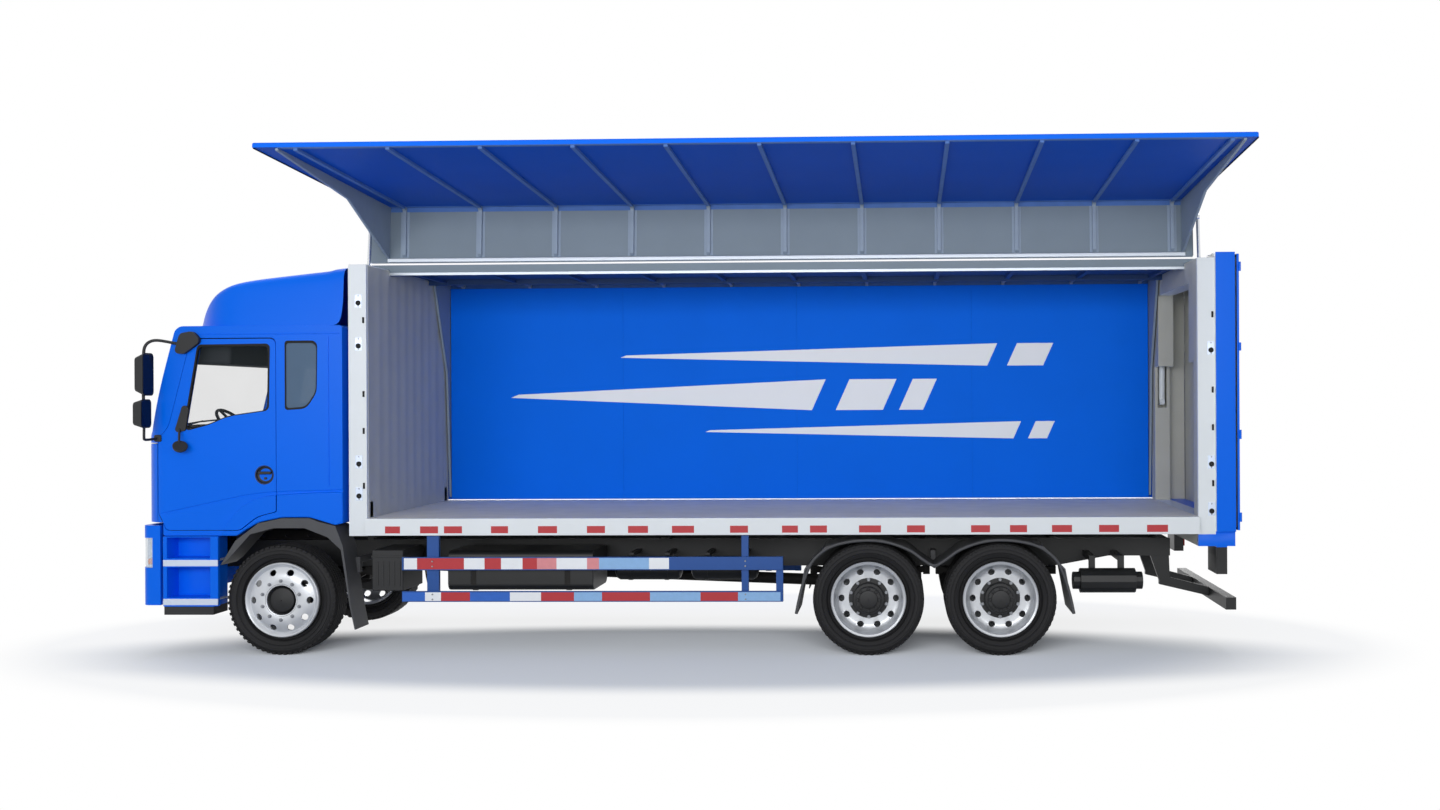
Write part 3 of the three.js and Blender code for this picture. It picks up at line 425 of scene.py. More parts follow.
for name, side in SIDES:
    body = "front_wheel_" + name
    low, high, centre = bounds_of("front_tyre_" + name)
    width = high.y - low.y
    finish(tyre("front_tyre_rubber_" + name, centre, (high.z - low.z) / 2, width, side), tyre_rubber, body,
        ["front_tyre_" + name])
    face = width / 2 - 0.002     # how far out the wheel's rim lies from the tyre's middle
    disc = painted(turned("front_disc_" + name, stood_out([
        (0.366, 0.000), (0.374, -0.006), (0.378, -0.020), (0.366, -0.030), (0.350, -0.034), (0.352, -0.225),
        (0.372, -0.245), (0.366, -0.262), (0.340, -0.255), (0.336, -0.060), (0.322, -0.050), (0.300, -0.030),
        (0.262, -0.012), (0.215, -0.006), (0.176, -0.008), (0.150, -0.014), (0.150, 0.004), (0.176, 0.010),
        (0.215, 0.012), (0.266, 0.004), (0.306, -0.014), (0.330, -0.030), (0.340, -0.022), (0.352, -0.006),
    ], face, side), centre, steps=80), wheel_steel)
    pierced(disc, centre, 0.286, 0.031, 10)
    drum = painted(turned("front_drum_" + name, stood_out([(0.02, -0.045), (0.200, -0.045), (0.205, -0.050),
        (0.205, -0.20), (0.19, -0.205), (0.02, -0.205)], face, side), centre, steps=48), hub_iron)
    cap = painted(turned("front_cap_" + name, stood_out([(0.004, 0.002), (0.060, -0.002), (0.100, -0.010),
        (0.118, -0.014), (0.124, -0.020), (0.126, -0.040), (0.156, -0.010), (0.158, 0.004), (0.163, 0.008),
        (0.166, 0.004), (0.166, -0.060), (0.004, -0.060)], face, side), centre, steps=48), hub_iron)
    nuts = painted(ring_of(nut("front_nut_" + name, centre, 0.196, face + 0.012, side),
        "front_nuts_" + name, centre, 10, math.pi / 10), nut_zinc)
    finish(joined("front_wheel_disc_" + name, [disc, drum, cap, nuts]), None, body,
        ["front_wheel_" + name])

# ---------------------------------------------------------------- rear wheels
# Twin wheels on the drive and tag axles. The same discs are turned round, so the outer one is dished deep
# behind a bright rim, round a black hub that stands out almost to the tyre's wall.
for axle in ("drive", "tag"):
    for name, side in SIDES:
        body = f"{axle}_wheels_{name}"
        low, high, middle = bounds_of(body)
        radius = (high.z - low.z) / 2
        outer = high.y if side > 0 else low.y
        width = 0.28
        parts = []
        for place in (0, 1):
            centre = Vector((middle.x, outer - side * (width / 2 + place * (width + 0.04)), middle.z))
            parts.append(painted(tyre(f"{body}_tyre_{place}", centre, radius, width, side), tyre_rubber))
            face = width / 2 - 0.006
            rim = painted(turned(f"{body}_rim_{place}", stood_out([
                (0.366, 0.000), (0.374, -0.008), (0.376, -0.022), (0.362, -0.030), (0.345, -0.040),
                (0.345, -0.215), (0.370, -0.240), (0.364, -0.255), (0.336, -0.250), (0.334, -0.150),
                (0.310, -0.148), (0.262, -0.150), (0.160, -0.150), (0.160, -0.134), (0.262, -0.132),
                (0.300, -0.122), (0.322, -0.100), (0.334, -0.060), (0.336, -0.030), (0.348, -0.008),
            ], face, side), centre, steps=80), wheel_steel)
            if place == 0:
                pierced(rim, centre, 0.272, 0.030, 10)
            parts.append(rim)
        centre = Vector((middle.x, outer - side * width / 2, middle.z))
        hub = painted(turned(body + "_hub", stood_out([(0.004, 0.010), (0.070, 0.008), (0.090, 0.002),
            (0.094, -0.010), (0.120, -0.012), (0.124, -0.020), (0.126, -0.060), (0.150, -0.062),
            (0.156, -0.070), (0.158, -0.128), (0.200, -0.130), (0.204, -0.175), (0.210, -0.30),
            (0.004, -0.30)], face, side), centre, steps=48), hub_iron)
        nuts = painted(ring_of(nut(body + "_nut", centre, 0.184, face - 0.118, side), body + "_nuts",
            centre, 10, math.pi / 10), nut_zinc)
        flange = painted(ring_of(nut(body + "_flange_bolt", centre, 0.108, face - 0.010, side),
            body + "_flange_bolts", centre, 8), hub_iron)
        finish(joined(body + "_twin", [*parts, hub, nuts, flange]), None, body, [body])

# ---------------------------------------------------------------- chassis
# Two pressed steel channels riveted to their cross members, with the engine and axles hung under them. All
# of it is sprayed black in one go, and castings and springs carry a dull film of road dust.
chassis_black = coated("black_chassis_enamel", "121416", 0.46, specular=0.4, mottle=0.25, mottle_mm=140,
    grain_mm=5, grain=0.07)
dusty_iron = coated("black_castings_with_road_dust", "1B1A19", 0.72, metallic=0.15, specular=0.35,
    mottle=0.35, mottle_mm=70, grain_mm=4, grain=0.09)
moulded_black = coated("moulded_black_polypropylene", "1F2022", 0.58, specular=0.4, mottle=0.10,
    mottle_mm=200, grain_mm=3, grain=0.07)


def rounded(corners, steps=8):
    """An outline whose corners (a, b, radius) are rounded by arcs."""
    points = []
    for i, (a, b, radius) in enumerate(corners):
        here = Vector((a, b))
        before = Vector(corners[i - 1][:2]) - here
        after = Vector(corners[(i + 1) % len(corners)][:2]) - here
        if radius == 0:
            points.append(here)
            continue
        half = before.angle(after) / 2
        reach = min(radius / math.tan(half), 0.49 * before.length, 0.49 * after.length)
        size = reach * math.tan(half)
        middle = here + (before.normalized() + after.normalized()).normalized() * size / math.sin(half)
        start, end = here + before.normalized() * reach - middle, here + after.normalized() * reach - middle
        sweep = start.angle_signed(end)
        for step in range(steps + 1):
            points.append(middle + Matrix.Rotation(-sweep * step / steps, 2) @ start)
    return [tuple(point) for point in points]


TURNS = {"X": Matrix(((0, 0, 1, 0), (1, 0, 0, 0), (0, 1, 0, 0), (0, 0, 0, 1))),
    "Y": Matrix(((1, 0, 0, 0), (0, 0, -1, 0), (0, 1, 0, 0), (0, 0, 0, 1))), "Z": Matrix.Identity(4)}


def sheet(name, outlines, normal, start, end, edge=0.0):
    """A flat shape cut from sheet between two places along its normal, in either order. Outlines after the
    first are holes."""
    bpy.ops.object.select_all(action="DESELECT")
    bpy.ops.curve.primitive_bezier_circle_add()
    drawn = bpy.context.object.data
    drawn.splines.clear()
    drawn.dimensions, drawn.fill_mode = "2D", "BOTH"
    for outline in outlines:
        spline = drawn.splines.new("POLY")
        spline.points.add(len(outline) - 1)
        spline.use_cyclic_u = True
        for point, (a, b) in zip(spline.points, outline):
            point.co = (a, b, 0, 1)
    drawn.extrude = abs(end - start) / 2 - edge
    drawn.bevel_depth, drawn.bevel_resolution, drawn.offset = edge, 2, -edge
    bpy.ops.object.convert(target="MESH")
    piece = bpy.context.object
    piece.data.transform(TURNS[normal])
    middle = (start + end) / 2
    piece.data.transform(shift(**{normal.lower(): middle}))
    return mended(settle(piece, name))


def slab(name, low, high, edge=0.003, segments=2):
    """A block between two opposite corners, in either order, with its edges rounded."""
    middle = [(a + b) / 2 for a, b in zip(low, high)]
    block = started(name, "cube", size=1, location=middle, scale=[abs(b - a) for a, b in zip(low, high)])
    return smooth(worked(block, "BEVEL", width=edge, segments=segments))


def cut_by(piece, tool, operation="DIFFERENCE"):
    """The piece cut or limited by a tool, which is then put away."""
    worked(piece, "BOOLEAN", object=tool, operation=operation, solver="EXACT")
    bpy.data.objects.remove(tool)
    return piece


def bevelled(piece, width, segments, angle):
    """The piece with rounded edges wherever its faces meet at more than an angle."""
    return worked(piece, "BEVEL", width=width, segments=segments, limit_method="ANGLE",
        angle_limit=math.radians(angle), use_clamp_overlap=True)


def softened(piece, width=0.003, angle=40, segments=2):
    """Its sharp edges rounded, as pressed sheet is."""
    return smooth(bevelled(piece, width, segments, angle), 30)


def merged_flats(piece, angle=1):
    """The piece with its nearly level faces made whole."""
    return worked(piece, "DECIMATE", decimate_type="DISSOLVE", angle_limit=math.radians(angle))


def refined(node, material=None, width=0.004, segments=1, angle=35):
    """A node's own shape in its place, with its doubles merged, its flats whole and its edges broken."""
    piece = copied(frame["nodes"][node], node + "_piece")
    piece.parent = None
    for key in list(piece.keys()):
        del piece[key]
    piece.data.materials.clear()
    softened(merged_flats(mended(piece)), width, angle, segments)
    return finish(piece, material, frame["nodes"][node]["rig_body"], [node])


def split_at(piece, place, normal):
    """The piece's faces divided along a plane, so that each side can take its own finish."""
    return edited(piece, ("bisect", {"plane_co": place, "plane_no": normal}))


def sloped(name, centre, normal, radius, height, sides=6):
    """A low bolt or rivet head whose top is smaller than its foot, standing along a normal."""
    head = started(name, "cone", vertices=sides, radius1=radius, radius2=radius * 0.72, depth=height)
    turn = Vector((0, 0, 1)).rotation_difference(Vector(normal)).to_matrix().to_4x4()
    head.data.transform(Matrix.Translation(Vector(centre) + Vector(normal) * height / 2) @ turn)
    return head


def row_of(piece, name, places):
    """The piece repeated at each of the moves in places."""
    return joined(name, [piece, *[copied(piece, name, shift(*place)) for place in places]])


refined("chassis_frame", chassis_black, 0.004)
low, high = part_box("chassis_frame")
rivet = sloped("rail_rivets_left", (low.x + 0.30, low.y, high.z - 0.07), (0, -1, 0), 0.012, 0.007, 8)
pairs = [(0.24 * i, 0, z) for i in range(40) for z in (0, -0.12)][1:]
row_of(rivet, "rail_rivets_left", pairs)
finish(rivet, chassis_black, "chassis")
finish(copied(rivet, "rail_rivets_right", ACROSS), chassis_black, "chassis")

for node, width in (("engine_block", 0.012), ("propshaft", 0.003), ("front_axle", 0.006),
        ("drive_axle", 0.006), ("tag_axle", 0.006), ("knuckle_left", 0.004), ("knuckle_right", 0.004)):
    refined(node, dusty_iron, width)
refined("rear_underrun", chassis_black, 0.005, segments=2)
refined("air_tank", chassis_black, 0.012, segments=3, angle=25)
refined("battery_box", moulded_black, 0.010, segments=2)

# Ribs moulded into the battery box's lid and the band that holds it down.
low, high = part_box("battery_box")
skin = [slab("battery_lid", (low.x - 0.006, low.y - 0.006, high.z - 0.075),
    (low.x + 0.321, low.y + 0.56, high.z - 0.055), 0.003)]
for i in range(5):
    x = low.x + 0.045 + 0.056 * i
    skin.append(slab("battery_rib", (x, low.y - 0.006, low.z + 0.05),
        (x + 0.020, low.y + 0.02, high.z - 0.11), 0.004))
finish(joined("battery_box_ribs", skin), moulded_black, "chassis")

# Leaf springs: the axles hang from them by pairs of U-bolts.
leaves = []
for node, spread in (("front_axle", 0.62), ("drive_axle", 0.56), ("tag_axle", 0.56)):
    low, high, middle = bounds_of(node)
    for name, side in SIDES:
        y = MIDDLE + side * 0.365
        for step in range(5):
            reach = spread * (1 - 0.16 * step)
            z = high.z - 0.052 - 0.017 * step
            leaves.append(slab("leaf", (middle.x - reach, y - 0.036, z),
                (middle.x + reach, y + 0.036, z + 0.015), 0.003, 1))
        for x in (-0.09, 0.09):
            leaves.append(slab("spring_clamp", (middle.x + x - 0.011, y - 0.052, high.z - 0.15),
                (middle.x + x + 0.011, y + 0.052, high.z - 0.02), 0.004, 1))
finish(joined("leaf_springs", leaves), dusty_iron, "chassis")

# ---------------------------------------------------------------- fuel tank
# Welded tank behind the left side guard, painted black with
# the chassis and strapped to two brackets.
refined("fuel_tank", chassis_black, 0.010, segments=3, angle=25)
low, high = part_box("fuel_tank")
straps = []
for x in (low.x + 0.26, high.x - 0.26):
    straps.append(slab("tank_strap", (x - 0.028, low.y - 0.004, low.z + 0.06),
        (x + 0.028, low.y + 0.02, high.z - 0.06), 0.002))
    straps.append(slab("tank_strap_foot", (x - 0.028, low.y + 0.06, low.z - 0.004),
        (x + 0.028, low.y + 0.55, low.z + 0.01), 0.002))
finish(joined("fuel_tank_straps", straps), dusty_iron, "chassis")
finish(turned("fuel_filler_cap", [(0.002, -0.052), (0.048, -0.052), (0.054, -0.047), (0.054, -0.018),
    (0.060, -0.015), (0.060, 0.02), (0.002, 0.02)], (low.x + 0.16, low.y + 0.05, high.z - 0.14), 24),
    moulded_black, "chassis")

# ---------------------------------------------------------------- cab body
# A welded steel cab, spray painted azure: the side panels swell over the wheel arches and are pressed in
# below a crease that climbs to the back. The shell, doors, screen and front flap are split from one body.
CAB_HALF = (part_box("cab_shell")[1].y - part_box("cab_shell")[0].y) / 2
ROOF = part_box("cab_shell")[1].z
CAB_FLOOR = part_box("cab_shell")[0].z
CAB_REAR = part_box("cab_shell")[1].x
WALL = 0.055

azure_paint = coated("azure_cab_enamel", "006CF2", 0.30, specular=0.14, mottle=0.03, mottle_mm=600,
    grain_mm=4, grain=0.02)
seam_rubber = coated("black_seam_rubber", "101113", 0.7, specular=0.3, mottle=0.1, mottle_mm=50)


def along(points):
    """Outline points (x from the nose, z) or (x, z, radius) in the frame's axes."""
    return [(NOSE + point[0], *point[1:]) for point in points]


def flank(side, out=0.0):
    """How far across the truck a place lies that is out from the cab's side skin."""
    return MIDDLE + side * (CAB_HALF + out)


SCREEN_FOOT, SCREEN_HEAD = (0.085, 2.254), (0.367, ROOF)
ARCH_TOP = 1.389


def cab_block(name, inset):
    """The cab's outer body, drawn in by an inset: its side outline limited by its rounded plan."""
    lean = (SCREEN_HEAD[0] - SCREEN_FOOT[0]) / (ROOF - SCREEN_FOOT[1])
    roof = ROOF - inset
    head = SCREEN_FOOT[0] + (roof - SCREEN_FOOT[1]) * lean + inset
    side = rounded(along([(inset, 1.340 + inset, 0), (inset, 2.150, 0.30),
        (SCREEN_FOOT[0] + inset, SCREEN_FOOT[1], 0.05), (head, roof, 0.10),
        (CAB_REAR - NOSE - inset, roof, 0.03), (CAB_REAR - NOSE - inset, 1.331 + inset, 0),
        (1.980, 1.310 + inset, 0.10), (1.722, ARCH_TOP + inset, 0.25), (1.438, ARCH_TOP + inset, 0.30),
        (1.199, 1.340 + inset, 0.3), (1.055, 1.256 + inset, 0.3), (0.980, 1.206 + inset, 0.05),
        (0.225 + inset, 1.206 + inset, 0.02), (0.225 + inset, 1.340 + inset, 0)]))
    block = sheet(name, [side], "Y", MIDDLE - CAB_HALF, MIDDLE + CAB_HALF)
    half, corner = CAB_HALF - inset, 0.26 - inset
    back = CAB_REAR - NOSE + 0.05
    plan = rounded([(NOSE + inset, MIDDLE - half, corner), (NOSE + back, MIDDLE - half, 0),
        (NOSE + back, MIDDLE + half, 0), (NOSE + inset, MIDDLE + half, corner)], steps=14)
    return cut_by(block, sheet("plan", [plan], "Z", 1.0, 3.5), "INTERSECT")


# Pressings on each side: between the crease and the wheel arch's swelling the skin lies 10 mm deeper, and
# the swelling stands 8 mm proud.
CREASE = [(0.100, 1.412), (0.194, 1.432), (1.043, 1.612), (1.250, 1.640), (1.369, 1.650), (2.100, 1.668)]
SWELLING = [(0.722, 0.90), (0.760, 1.060), (0.816, 1.199), (0.880, 1.320), (0.970, 1.430), (1.062, 1.510),
    (1.174, 1.570), (1.270, 1.597), (1.378, 1.609), (1.700, 1.630), (2.100, 1.640)]
body = cab_block("cab_block", 0.0)
swellings = {}
for name, side in SIDES:
    deep = sheet("deep_panel", [along([*CREASE, *reversed(SWELLING), (0.100, 0.90)])], "Y",
        flank(side, -0.010), flank(side, 0.05))
    bevelled(deep, 0.009, 3, 60)
    cut_by(body, deep)
    swelling = sheet("arch_swelling", [along([(0.820, 1.210), *SWELLING[3:-1], (2.053, 1.639),
        (2.053, 1.340), (1.985, 1.310), (1.722, 1.391), (1.438, 1.391), (1.199, 1.342), (1.060, 1.262),
        (0.985, 1.210)])], "Y", flank(side, -0.034), flank(side, 0.008))
    swellings[name] = swelling

hollow = cab_block("cab_hollow", WALL)
WINDOW = rounded(along([(0.440, 2.253, 0.05), (0.700, 2.322, 0.6), (0.900, 2.405, 0.6),
    (1.306, 2.461, 0.06), (1.319, 3.123, 0.045), (0.590, 3.117, 0.05)]), 6)
QUARTER = rounded(along([(1.477, 2.468, 0.03), (1.690, 2.482, 0.12), (1.795, 2.640, 0.20),
    (1.802, 3.150, 0.06), (1.477, 3.150, 0.03)]), 6)
DOOR = rounded(along([(0.176, 1.440, 0.10), (0.260, 1.262, 0.05), (1.010, 1.262, 0.10), (1.190, 1.399, 0.3),
    (1.380, 1.448, 0.02), (1.380, 3.180, 0.06), (0.520, 3.180, 0.08), (0.285, 2.284, 0.3),
    (0.176, 2.184, 0.06)]), 6)


def grown(outline, by):
    """The outline pushed outwards all round."""
    middle = Vector((sum(p[0] for p in outline) / len(outline), sum(p[1] for p in outline) / len(outline)))
    size = sum((Vector(p) - middle).length for p in outline) / len(outline)
    return [tuple(middle + (Vector(p) - middle) * (1 + by / size)) for p in outline]


SCREEN = rounded([(MIDDLE - 1.060, 2.290, 0.06), (MIDDLE + 1.060, 2.290, 0.06),
    (MIDDLE + 1.010, 3.215, 0.08), (MIDDLE - 1.010, 3.215, 0.08)], 6)
PANEL_REAR = NOSE + 0.161
left_wall, right_wall = MIDDLE - CAB_HALF - 0.02, MIDDLE + CAB_HALF + 0.02


def through(name, outline):
    """A tool that reaches right through the cab from side to side."""
    return sheet(name, [outline], "Y", left_wall, right_wall)


panes = copied(body, "windscreen_glass")
cut_by(panes, cab_block("screen_back", 0.012))
cut_by(panes, sheet("screen_line", [SCREEN], "X", NOSE - 0.05, NOSE + 0.60), "INTERSECT")
flap = copied(body, "front_flap_skin")
cut_by(flap, cab_block("flap_back", 0.050))
cut_by(flap, slab("flap_line", (NOSE - 0.05, left_wall, 1.340), (PANEL_REAR, right_wall, 2.128), 0.0005,
    1), "INTERSECT")
doors = {}
for name, side in SIDES:
    door = copied(body, "cab_door_panel_" + name)
    cut_by(door, sheet("door_line", [DOOR], "Y", flank(side, -0.060), flank(side, 0.02)), "INTERSECT")
    cut_by(door, through("door_window", WINDOW))
    doors[name] = door
shell = body
shell.name = "cab_body"
cut_by(shell, hollow)
cut_by(shell, through("door_gap", grown(DOOR, 0.007)))
cut_by(shell, through("quarter_gap", QUARTER))
cut_by(shell, sheet("screen_gap", [SCREEN], "X", NOSE - 0.05, NOSE + 0.60))
cut_by(shell,
    slab("flap_gap", (NOSE - 0.05, left_wall, 1.300), (PANEL_REAR + 0.006, right_wall, 2.138), 0.0005, 1))

for piece in (shell, flap, *doors.values()):
    softened(piece, 0.0035)
for name, side in SIDES:
    on_door = copied(swellings[name], "door_swelling")
    cut_by(on_door, through("door_line", DOOR), "INTERSECT")
    on_shell = cut_by(swellings[name], through("door_gap", grown(DOOR, 0.007)))
    for part in (on_door, on_shell):
        merged_flats(part)
        softened(part, 0.010, segments=4)
    joined(doors[name].name, [doors[name], on_door])
    shell = joined("cab_body", [shell, on_shell])
finish(shell, azure_paint, "chassis", ["cab_shell"])
finish(flap, azure_paint, "front_panel", ["front_panel"])
for name, door in doors.items():
    finish(door, azure_paint, "cab_door_" + name, ["cab_door_" + name])

# ---------------------------------------------------------------- glass
# Laminated windscreen and toughened side windows in black rubber seals. The glass is lightly tinted, and
# the quarter windows behind the doors are of dark privacy glass.
def tinted(name, colour, alpha):
    material, tree, output = blank(name)
    place = add(tree, "TexCoord").outputs["Object"]
    slow = add(tree, "TexNoise", {"Scale": 2.5, "Detail": 2}, {"Vector": place})
    tone = add(tree, "MapRange", {"To Min": 0.9, "To Max": 1.1}, {"Value": slow.outputs["Fac"]})
    mixed = add(tree, "VectorMath", {"operation": "MULTIPLY", 0: srgb(colour)[:3]},
        {1: tone.outputs["Result"]})
    shader = add(tree, "BsdfPrincipled", {"Roughness": 0.04, "IOR": 1.52, "Alpha": alpha},
        {"Base Color": mixed.outputs[0]})
    tree.links.new(shader.outputs[0], output.inputs["Surface"])
    return material


clear_glass = tinted("laminated_glass", "3C4A50", 0.07)
dark_glass = tinted("toughened_privacy_glass", "4E6A86", 0.86)
worked(panes, "WELD", merge_threshold=0.0003)
finish(smooth(panes), clear_glass, "chassis", ["windscreen"])


def framed(name, outline, side, out, width=0.014):
    """A rubber seal that runs round a window, proud of the skin by out."""
    seal = sheet(name, [grown(outline, width / 2), grown(outline, -width)], "Y", flank(side, out),
        flank(side, -0.030), 0.0015)
    return painted(seal, seam_rubber)


for name, side in SIDES:
    finish(sheet("door_window_glass_" + name, [grown(WINDOW, -0.002)], "Y", flank(side, -0.025),
        flank(side, -0.030)), clear_glass, "cab_door_" + name, ["door_glass_" + name])
    finish(framed("door_window_seal_" + name, WINDOW, side, 0.0015), None, "cab_door_" + name)
    finish(sheet("quarter_glass_" + name, [grown(QUARTER, -0.002)], "Y", flank(side, -0.008),
        flank(side, -0.013)), dark_glass, "chassis", ["quarter_window_" + name])
    finish(framed("quarter_window_seal_" + name, QUARTER, side, 0.0015), None, "chassis")

# ---------------------------------------------------------------- roof fairing
# High roof of glass-reinforced polyester, moulded in one shell, painted with the cab and bolted to the
# roof's gutter. A raised collar at its back reaches up to the cargo box.
FAIRING_LINE = [(0.440, 3.330), (0.490, 3.440), (0.550, 3.535), (0.642, 3.630), (0.740, 3.690),
    (0.860, 3.738), (0.976, 3.768), (1.150, 3.796), (1.400, 3.824), (1.806, 3.868), (1.900, 3.877),
    (1.935, 3.895), (2.060, 3.906)]
FAIRING_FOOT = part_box("roof_fairing")[0].z
FAIRING_HALF = (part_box("roof_fairing")[1].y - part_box("roof_fairing")[0].y) / 2


def bow(half, rise, power, steps=12):
    """One cross-section, half as wide as half: its sides lean in and turn, sharper for a higher power."""
    points = []
    for step in range(-steps, steps + 1):
        t = (1 + step / steps) * math.pi / 2
        y = -math.copysign(abs(math.cos(t)) ** (2 / power), math.cos(t)) * half
        up = abs(math.sin(t)) ** (2 / power)
        points.append((y * (1 - 0.03 * up), up * rise))
    return points


stations = []
for x, z in FAIRING_LINE:
    nearer = max(0.0, min(1.0, (x - 0.44) / 0.50))
    half = FAIRING_HALF - 0.35 * (1 - nearer) ** 2.2
    rise = max(z - FAIRING_FOOT, 0.004)
    stations.append([(NOSE + x, MIDDLE + y, FAIRING_FOOT + up)
        for y, up in bow(half, rise, 6 + 9 * nearer)])
fairing = started("roof_fairing_shell", "grid", x_subdivisions=len(stations[0]) - 1,
    y_subdivisions=len(stations) - 1, size=1)
for vertex, place in zip(fairing.data.vertices, [p for station in stations for p in station]):
    vertex.co = place
edited(fairing, OUTWARDS)
worked(fairing, "SUBSURF", levels=2, render_levels=2)
worked(fairing, "SOLIDIFY", thickness=0.006, offset=-1)
mended(fairing)
if fairing.data.polygons[0].normal.z < -0.5:
    fairing.data.flip_normals()
finish(smooth(fairing, 40), azure_paint, "chassis", ["roof_fairing"], flat=False)

# ---------------------------------------------------------------- cab interior
# Vacuum-formed grey lining on the walls, a padded headliner, and door cards clipped inside the doors. It is
# dark, so that the far window stands out bright across the cab.
def nose_slab(name, low, high, edge=0.003, segments=2):
    """A slab whose corners are counted from the nose, the middle and the ground."""
    return slab(name, (NOSE + low[0], MIDDLE + low[1], low[2]), (NOSE + high[0], MIDDLE + high[1], high[2]),
        edge, segments)


cab_lining = coated("vacuum_formed_lining", "26292D", 0.74, specular=0.3, mottle=0.08, mottle_mm=150,
    grain_mm=3, grain=0.08)
soft_dash = coated("soft_touch_dashboard_skin", "4A4642", 0.66, specular=0.35, mottle=0.08, mottle_mm=120,
    grain_mm=3, grain=0.08)

painted(shell, cab_lining)
inside = cab_block("inside", WALL - 0.006)
tree_of = BVHTree.FromPolygons([v.co for v in inside.data.vertices],
    [p.vertices for p in inside.data.polygons])
for face in shell.data.polygons:
    place, normal = tree_of.find_nearest(face.center)[:2]
    if (face.center - place).dot(normal) < -0.0005:
        face.material_index = 1
bpy.data.objects.remove(inside)
for name, side in SIDES:
    door = doors[name]
    painted(door, cab_lining)
    for face in door.data.polygons:
        if abs(face.center.y - MIDDLE) < CAB_HALF - 0.055:
            face.material_index = 1
    card = sheet("door_card_" + name, [grown(DOOR, -0.05), grown(WINDOW, 0.03)], "Y", flank(side, -0.0605),
        flank(side, -0.072), 0.003)
    y = flank(side, -0.072)
    rest = slab("door_armrest", (NOSE + 0.55, y - side * 0.07, 2.02), (NOSE + 1.20, y, 2.10), 0.022, 4)
    pull = slab("door_pull", (NOSE + 0.98, y - side * 0.035, 2.14), (NOSE + 1.16, y, 2.18), 0.012, 3)
    pocket = slab("door_pocket", (NOSE + 0.42, y - side * 0.05, 1.50), (NOSE + 1.12, y, 1.72), 0.018, 3)
    finish(joined("door_card_" + name, [card, rest, pull, pocket]), cab_lining,
        "cab_door_" + name)

liner = slab("headliner", (NOSE + 0.42, MIDDLE - 1.10, ROOF - 0.085),
    (CAB_REAR - 0.08, MIDDLE + 1.10, ROOF - 0.058), 0.010, 3)
shelf = nose_slab("header_shelf", (0.43, -1.06, ROOF - 0.38), (0.84, 1.06, ROOF - 0.086), 0.030, 4)
visors = [nose_slab("sun_visor", (0.405, a, ROOF - 0.26), (0.425, b, ROOF - 0.10), 0.008, 3)
    for a, b in ((-0.95, -0.20), (0.20, 0.95))]
finish(joined("headliner", [liner, shelf, *visors]), cab_lining, "chassis")
finish(nose_slab("floor_mat", (0.30, -1.13, CAB_FLOOR + 0.058), (1.02, 1.13, CAB_FLOOR + 0.068), 0.003),
    seam_rubber, "chassis")

# ---------------------------------------------------------------- dashboard
# Soft-skinned dashboard across the cab, with the binnacle, column and wheel on the left and air vents along
# it.
TOP = 2.224                        # top of the dashboard's shelf
section = rounded(along([(0.150, 1.785, 0.02), (0.150, TOP, 0.03), (0.325, TOP + 0.004, 0.05),
    (0.462, TOP - 0.090, 0.07), (0.475, 1.985, 0.06), (0.380, 1.785, 0.03)]), 6)
pod = sheet("dashboard_pod", [section], "Y", MIDDLE - 1.12, MIDDLE + 1.12)
plan = rounded([(NOSE + 0.07, MIDDLE - 1.12, 0.20), (NOSE + 0.60, MIDDLE - 1.12, 0),
    (NOSE + 0.60, MIDDLE + 1.12, 0), (NOSE + 0.07, MIDDLE + 1.12, 0.20)], 10)
cut_by(pod, sheet("dashboard_plan", [plan], "Z", 1.5, 2.6), "INTERSECT")
softened(pod, 0.008, segments=3)
WHEEL = Vector((NOSE + 0.650, MIDDLE - 0.600, TOP + 0.080))
binnacle = sheet("binnacle", [rounded(along([(0.26, TOP - 0.02, 0.02), (0.26, TOP + 0.085, 0.05),
    (0.40, TOP + 0.095, 0.02), (0.43, TOP + 0.03, 0.02), (0.45, TOP - 0.09, 0.02)]), 6)], "Y",
    WHEEL.y - 0.24, WHEEL.y + 0.24)
softened(binnacle, 0.015, segments=3)
stack = [pod, binnacle]
for y in (-1.02, -0.13, 0.13, 0.42, 0.88):
    stack += [nose_slab("vent", (0.452, y - 0.062, 2.035), (0.478, y + 0.062, 2.115), 0.006)]
    stack += [nose_slab("vane", (0.470, y - 0.054, 2.045 + 0.018 * i),
        (0.484, y + 0.054, 2.051 + 0.018 * i), 0.001, 1) for i in range(4)]
finish(joined("dashboard_body", stack), soft_dash, "chassis", ["dashboard"])

rim = started("steering_rim", "torus", major_radius=0.225, minor_radius=0.016, major_segments=56,
    minor_segments=12)
spokes = [slab("spoke", (-0.028, 0.05, -0.010), (0.028, 0.215, 0.004), 0.006, 2)]
spokes += [copied(spokes[0], "spoke", swing(a, "Z")) for a in (115, 245)]
boss = slab("boss", (-0.085, -0.085, -0.035), (0.085, 0.085, 0.012), 0.030, 5)
column = slab("column", (-0.035, -0.035, -0.32), (0.035, 0.035, -0.02), 0.020, 4)
wheel = smooth(joined("steering_wheel", [rim, *spokes, boss, column]))
wheel.data.transform(Matrix.Translation(WHEEL) @ swing(45, "Y") @ swing(90, "Z"))
finish(wheel, cab_lining, "chassis")

# ---------------------------------------------------------------- seats
# Two seats of moulded foam in woven grey cloth on steel risers, with the padded cover of the engine
# between. The cushions are stuffed by simulation, then drawn in along their sewn channels.
seat_cloth, tree, output = blank("woven_seat_cloth")
place = add(tree, "TexCoord").outputs["Object"]
